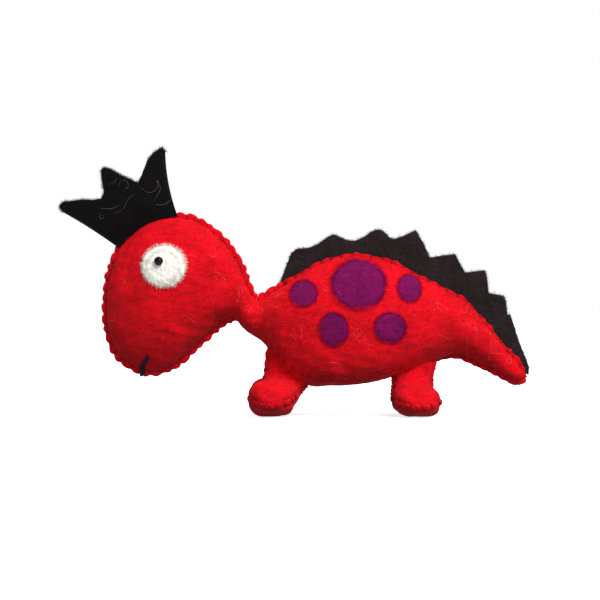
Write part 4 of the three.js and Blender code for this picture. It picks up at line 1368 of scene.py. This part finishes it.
class PUPPET_OT_eyes(PuppetStep, bpy.types.Operator):
    """Felts the white eye patches and sews a bead on each"""

    bl_idname = "puppet.eyes"
    bl_label = "Eyes"

    def make(self, sizes):
        for hand, side in HANDS:
            points, faces = patch(EYE, side, sizes, tall=1.25, uneven=0.022, seed=5, rings=26, around=110)
            white = add_mesh(f"eye_white_{hand}", points, faces, finish_for("white wool"))
            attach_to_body(white, "head")
            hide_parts(f"eye_patch_{hand}")
            rng = np.random.default_rng(70 + side)
            lines = np.concatenate([rim_hairs(EYE, side, sizes, rng, 900, 2.0, 0.75),
                                    rim_hairs(resized(EYE, 9, 8.5), side, sizes, rng, 300, 2.6, 1.45, 1.2)])
            fur = hair_mesh(f"eye_hairs_{hand}", lines, "white hair", 0.07)
            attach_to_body(fur, "head")
            lines = rim_hairs(resized(EYE, 11, 10.5), side, sizes, rng, 46, 1.8, 1.4, 1.5)
            fur = hair_mesh(f"eye_dark_hairs_{hand}", lines, "black hair", 0.06)
            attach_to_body(fur, "head")
            rib, angle = locate(PUPIL["x"], PUPIL["z"])
            normal = skin_normal(rib, angle, side)
            seat = felt_surface(rib, angle, side, sizes) + normal * (1.2 + PUPIL["deep"] * 0.7)
            turn = circle(40)[None, :, None]
            tilt = np.linspace(-np.pi / 2, np.pi / 2, 25)[:, None, None]
            a = unit(np.cross(normal, [0, 0, 1.0]))
            b = np.cross(normal, a)
            ball = (seat + PUPIL["r"] * np.cos(tilt) * (np.cos(turn) * a + np.sin(turn) * b)
                    + PUPIL["deep"] * np.sin(tilt) * normal)
            bead = add_mesh(f"pupil_{hand}", ball.reshape(-1, 3), grid_quads(25, 40, wrap_cols=True),
                            finish_for("bead"))
            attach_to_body(bead, "head")
            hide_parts(f"pupil_bead_{hand}")


class PUPPET_OT_spots(PuppetStep, bpy.types.Operator):
    """Needle-felts the five purple spots on each side"""

    bl_idname = "puppet.spots"
    bl_label = "Spots"

    def make(self, sizes):
        for hand, side in HANDS:
            for i, spot in enumerate(SPOTS, 1):
                points, faces = patch(spot, side, sizes, tall=0.5, edge=5, uneven=0.055, seed=40 + i)
                obj = add_mesh(f"spot_{i}_{hand}_wool", points, faces, finish_for("purple wool"))
                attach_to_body(obj, "trunk")
                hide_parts(f"spot_{i}_{hand}")
            rng = np.random.default_rng(60 + side)
            for name, length, share, slot in (
                    ("purple", 1.5, 1.0, "purple_wool"), ("red", -1.3, 1.14, "red_felt")):
                lines = [rim_hairs(resized(spot, spot["rx"] * share, spot["rz"] * share), side, sizes, rng,
                                   round(26 * (spot["rx"] + spot["rz"])), length, 0.5) for spot in SPOTS]
                fur = hair_mesh(f"spot_{name}_hairs_{hand}", np.concatenate(lines), f"{name} hair", 0.06)
                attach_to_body(fur, "trunk")


class PUPPET_OT_mouth(PuppetStep, bpy.types.Operator):
    """Sews the mouth: four strands of dark yarn over the end of the snout"""

    bl_idname = "puppet.mouth"
    bl_label = "Mouth"

    def make(self, sizes):
        rib, angle = locate(MOUTH[:, 0], MOUTH[:, 1])
        edge_ribs = np.array([MOUTH_RIB - 0.01, MOUTH_RIB, MOUTH_RIB + 0.01])
        path, out = seam_path(edge_ribs, np.full(3, -90.0))
        brow = path[1] + out[1] * np.array([[1.7], [2.3], [1.7]]) + [[0, -1.9, 0], [0, 0, 0], [0, 1.9, 0]]
        strands = []
        for shift in (-1.5, -0.5, 0.5, 1.5):
            halves = []
            for _, side in HANDS:
                at = felt_surface(rib, angle, side, sizes) + skin_normal(rib, angle, side) * 0.35
                spread = shift * np.linspace(0.42, 0.8, len(at))
                at = at + np.stack([spread, 0 * spread, 0.4 * spread], axis=-1)
                at[0] -= skin_normal(rib, angle, side)[0] * 1.3
                halves.append(at)
            over = brow + [0.75 * shift, 0, 0.25 * shift]
            line = np.concatenate([halves[0], over, halves[1][::-1]])
            strands.append(rail(line, np.linspace(0, len(line) - 1, 60)))
        points, faces = tubes(sweep(np.stack(strands), 0.55, 10))
        obj = add_mesh("mouth_yarn", points, faces, finish_for("dark yarn"), merge=False)
        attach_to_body(obj, "head")
        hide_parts("mouth_stitch")


class PUPPET_OT_filling(PuppetStep, bpy.types.Operator):
    """Fills the head, the neck and the tail with wool, and finishes the body's wool"""

    bl_idname = "puppet.filling"
    bl_label = "Stuffing"

    PARTS = (("head", 1.0, NECK_RIB - 0.3, "head"), ("neck", NECK_RIB - 0.1, 12.2, "front"),
             ("tail", 20.6, 24.2, "rear"))

    def make(self, sizes):
        wool = finish_for("filling")
        for part, start, end, joint in self.PARTS:
            left, right = (skin_grid(start, end, side, sizes, inset=sizes.felt / MM + 0.7, most=0.56)
                           for _, side in HANDS)
            core = np.concatenate([left, right[:, ::-1]], axis=1)[::2, ::2]
            obj = add_mesh(f"{part}_wool", *closed_tube(core), wool)
            bend(obj)
            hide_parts(f"{part}_stuffing")
        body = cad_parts["body_stuffing"].data.materials
        body.clear()
        body.append(wool)


class PUPPET_OT_hairs(PuppetStep, bpy.types.Operator):
    """Scatters loose wool hairs over the felt, with a few long pale curly ones"""

    bl_idname = "puppet.hairs"
    bl_label = "Loose hairs"

    @staticmethod
    def curl_starts(rng, start, end):
        """Places of the side view, well inside its outline, where long hairs begin."""
        rib, share = rng.uniform(max(start, 1.5), min(end, 23.5), 17), rng.uniform(0.18, 0.82, 17)
        at = lerp(rail(LOW, rib), rail(HIGH, rib), share[:, None])
        return at[:, 0], at[:, 1]

    def make(self, sizes):
        for part, start, end in (
                ("head", 0.3, NECK_RIB), ("front", NECK_RIB, MID_RIB), ("rear", MID_RIB, 24.6)):
            rng = np.random.default_rng(len(part))
            found = [scatter(rng, sizes.hairs, start, end, side, sizes) for _, side in HANDS]
            at, out = (np.concatenate([f[i] for f in found]) for i in (0, 1))
            x, z = curls(*self.curl_starts(rng, start, end), rng, 11)
            long = np.concatenate([on_side(x, z, side, sizes, 0.25)[0] for _, side in HANDS])
            curly = hair_mesh(f"{part}_long_hairs", long, "light hair", 0.055)
            bend(curly)
            short = hair_lines(at, out, rng, sizes.hair_length / MM)
            fur = hair_mesh(f"{part}_hairs", short, "red hair", 0.05)
            bend(fur)


class PUPPET_PT_panel(bpy.types.Panel):
    """Lists the steps of the making, with the sizes and colours they use"""

    bl_label = "Felt Dinosaur Puppet"
    bl_idname = "PUPPET_PT_panel"
    bl_space_type = "VIEW_3D"
    bl_region_type = "UI"
    bl_category = "Puppet"

    def draw(self, context):
        column = self.layout.column()
        for step in STEPS:
            column.operator(step.bl_idname)
        for group in (context.scene.puppet_sizes, context.scene.puppet_colours):
            for name in group.bl_rna.properties.keys():
                if name not in ("rna_type", "name"):
                    column.prop(group, name)


STEPS = (
    PUPPET_OT_stage, PUPPET_OT_skins, PUPPET_OT_gusset, PUPPET_OT_legs, PUPPET_OT_seams, PUPPET_OT_crest,
    PUPPET_OT_crown, PUPPET_OT_eyes, PUPPET_OT_spots, PUPPET_OT_mouth, PUPPET_OT_filling, PUPPET_OT_hairs)
CLASSES = (PuppetSizes, PuppetColours, *STEPS, PUPPET_PT_panel)


def register():
    for cls in CLASSES:
        bpy.utils.register_class(cls)
    bpy.types.Scene.puppet_sizes = PointerProperty(type=PuppetSizes)
    bpy.types.Scene.puppet_colours = PointerProperty(type=PuppetColours)


def unregister():
    del bpy.types.Scene.puppet_colours, bpy.types.Scene.puppet_sizes
    for cls in reversed(CLASSES):
        bpy.utils.unregister_class(cls)


def main():
    register()
    for step in STEPS:
        group, name = step.bl_idname.split(".")
        getattr(getattr(bpy.ops, group), name)()


if __name__ == "__main__":
    main()
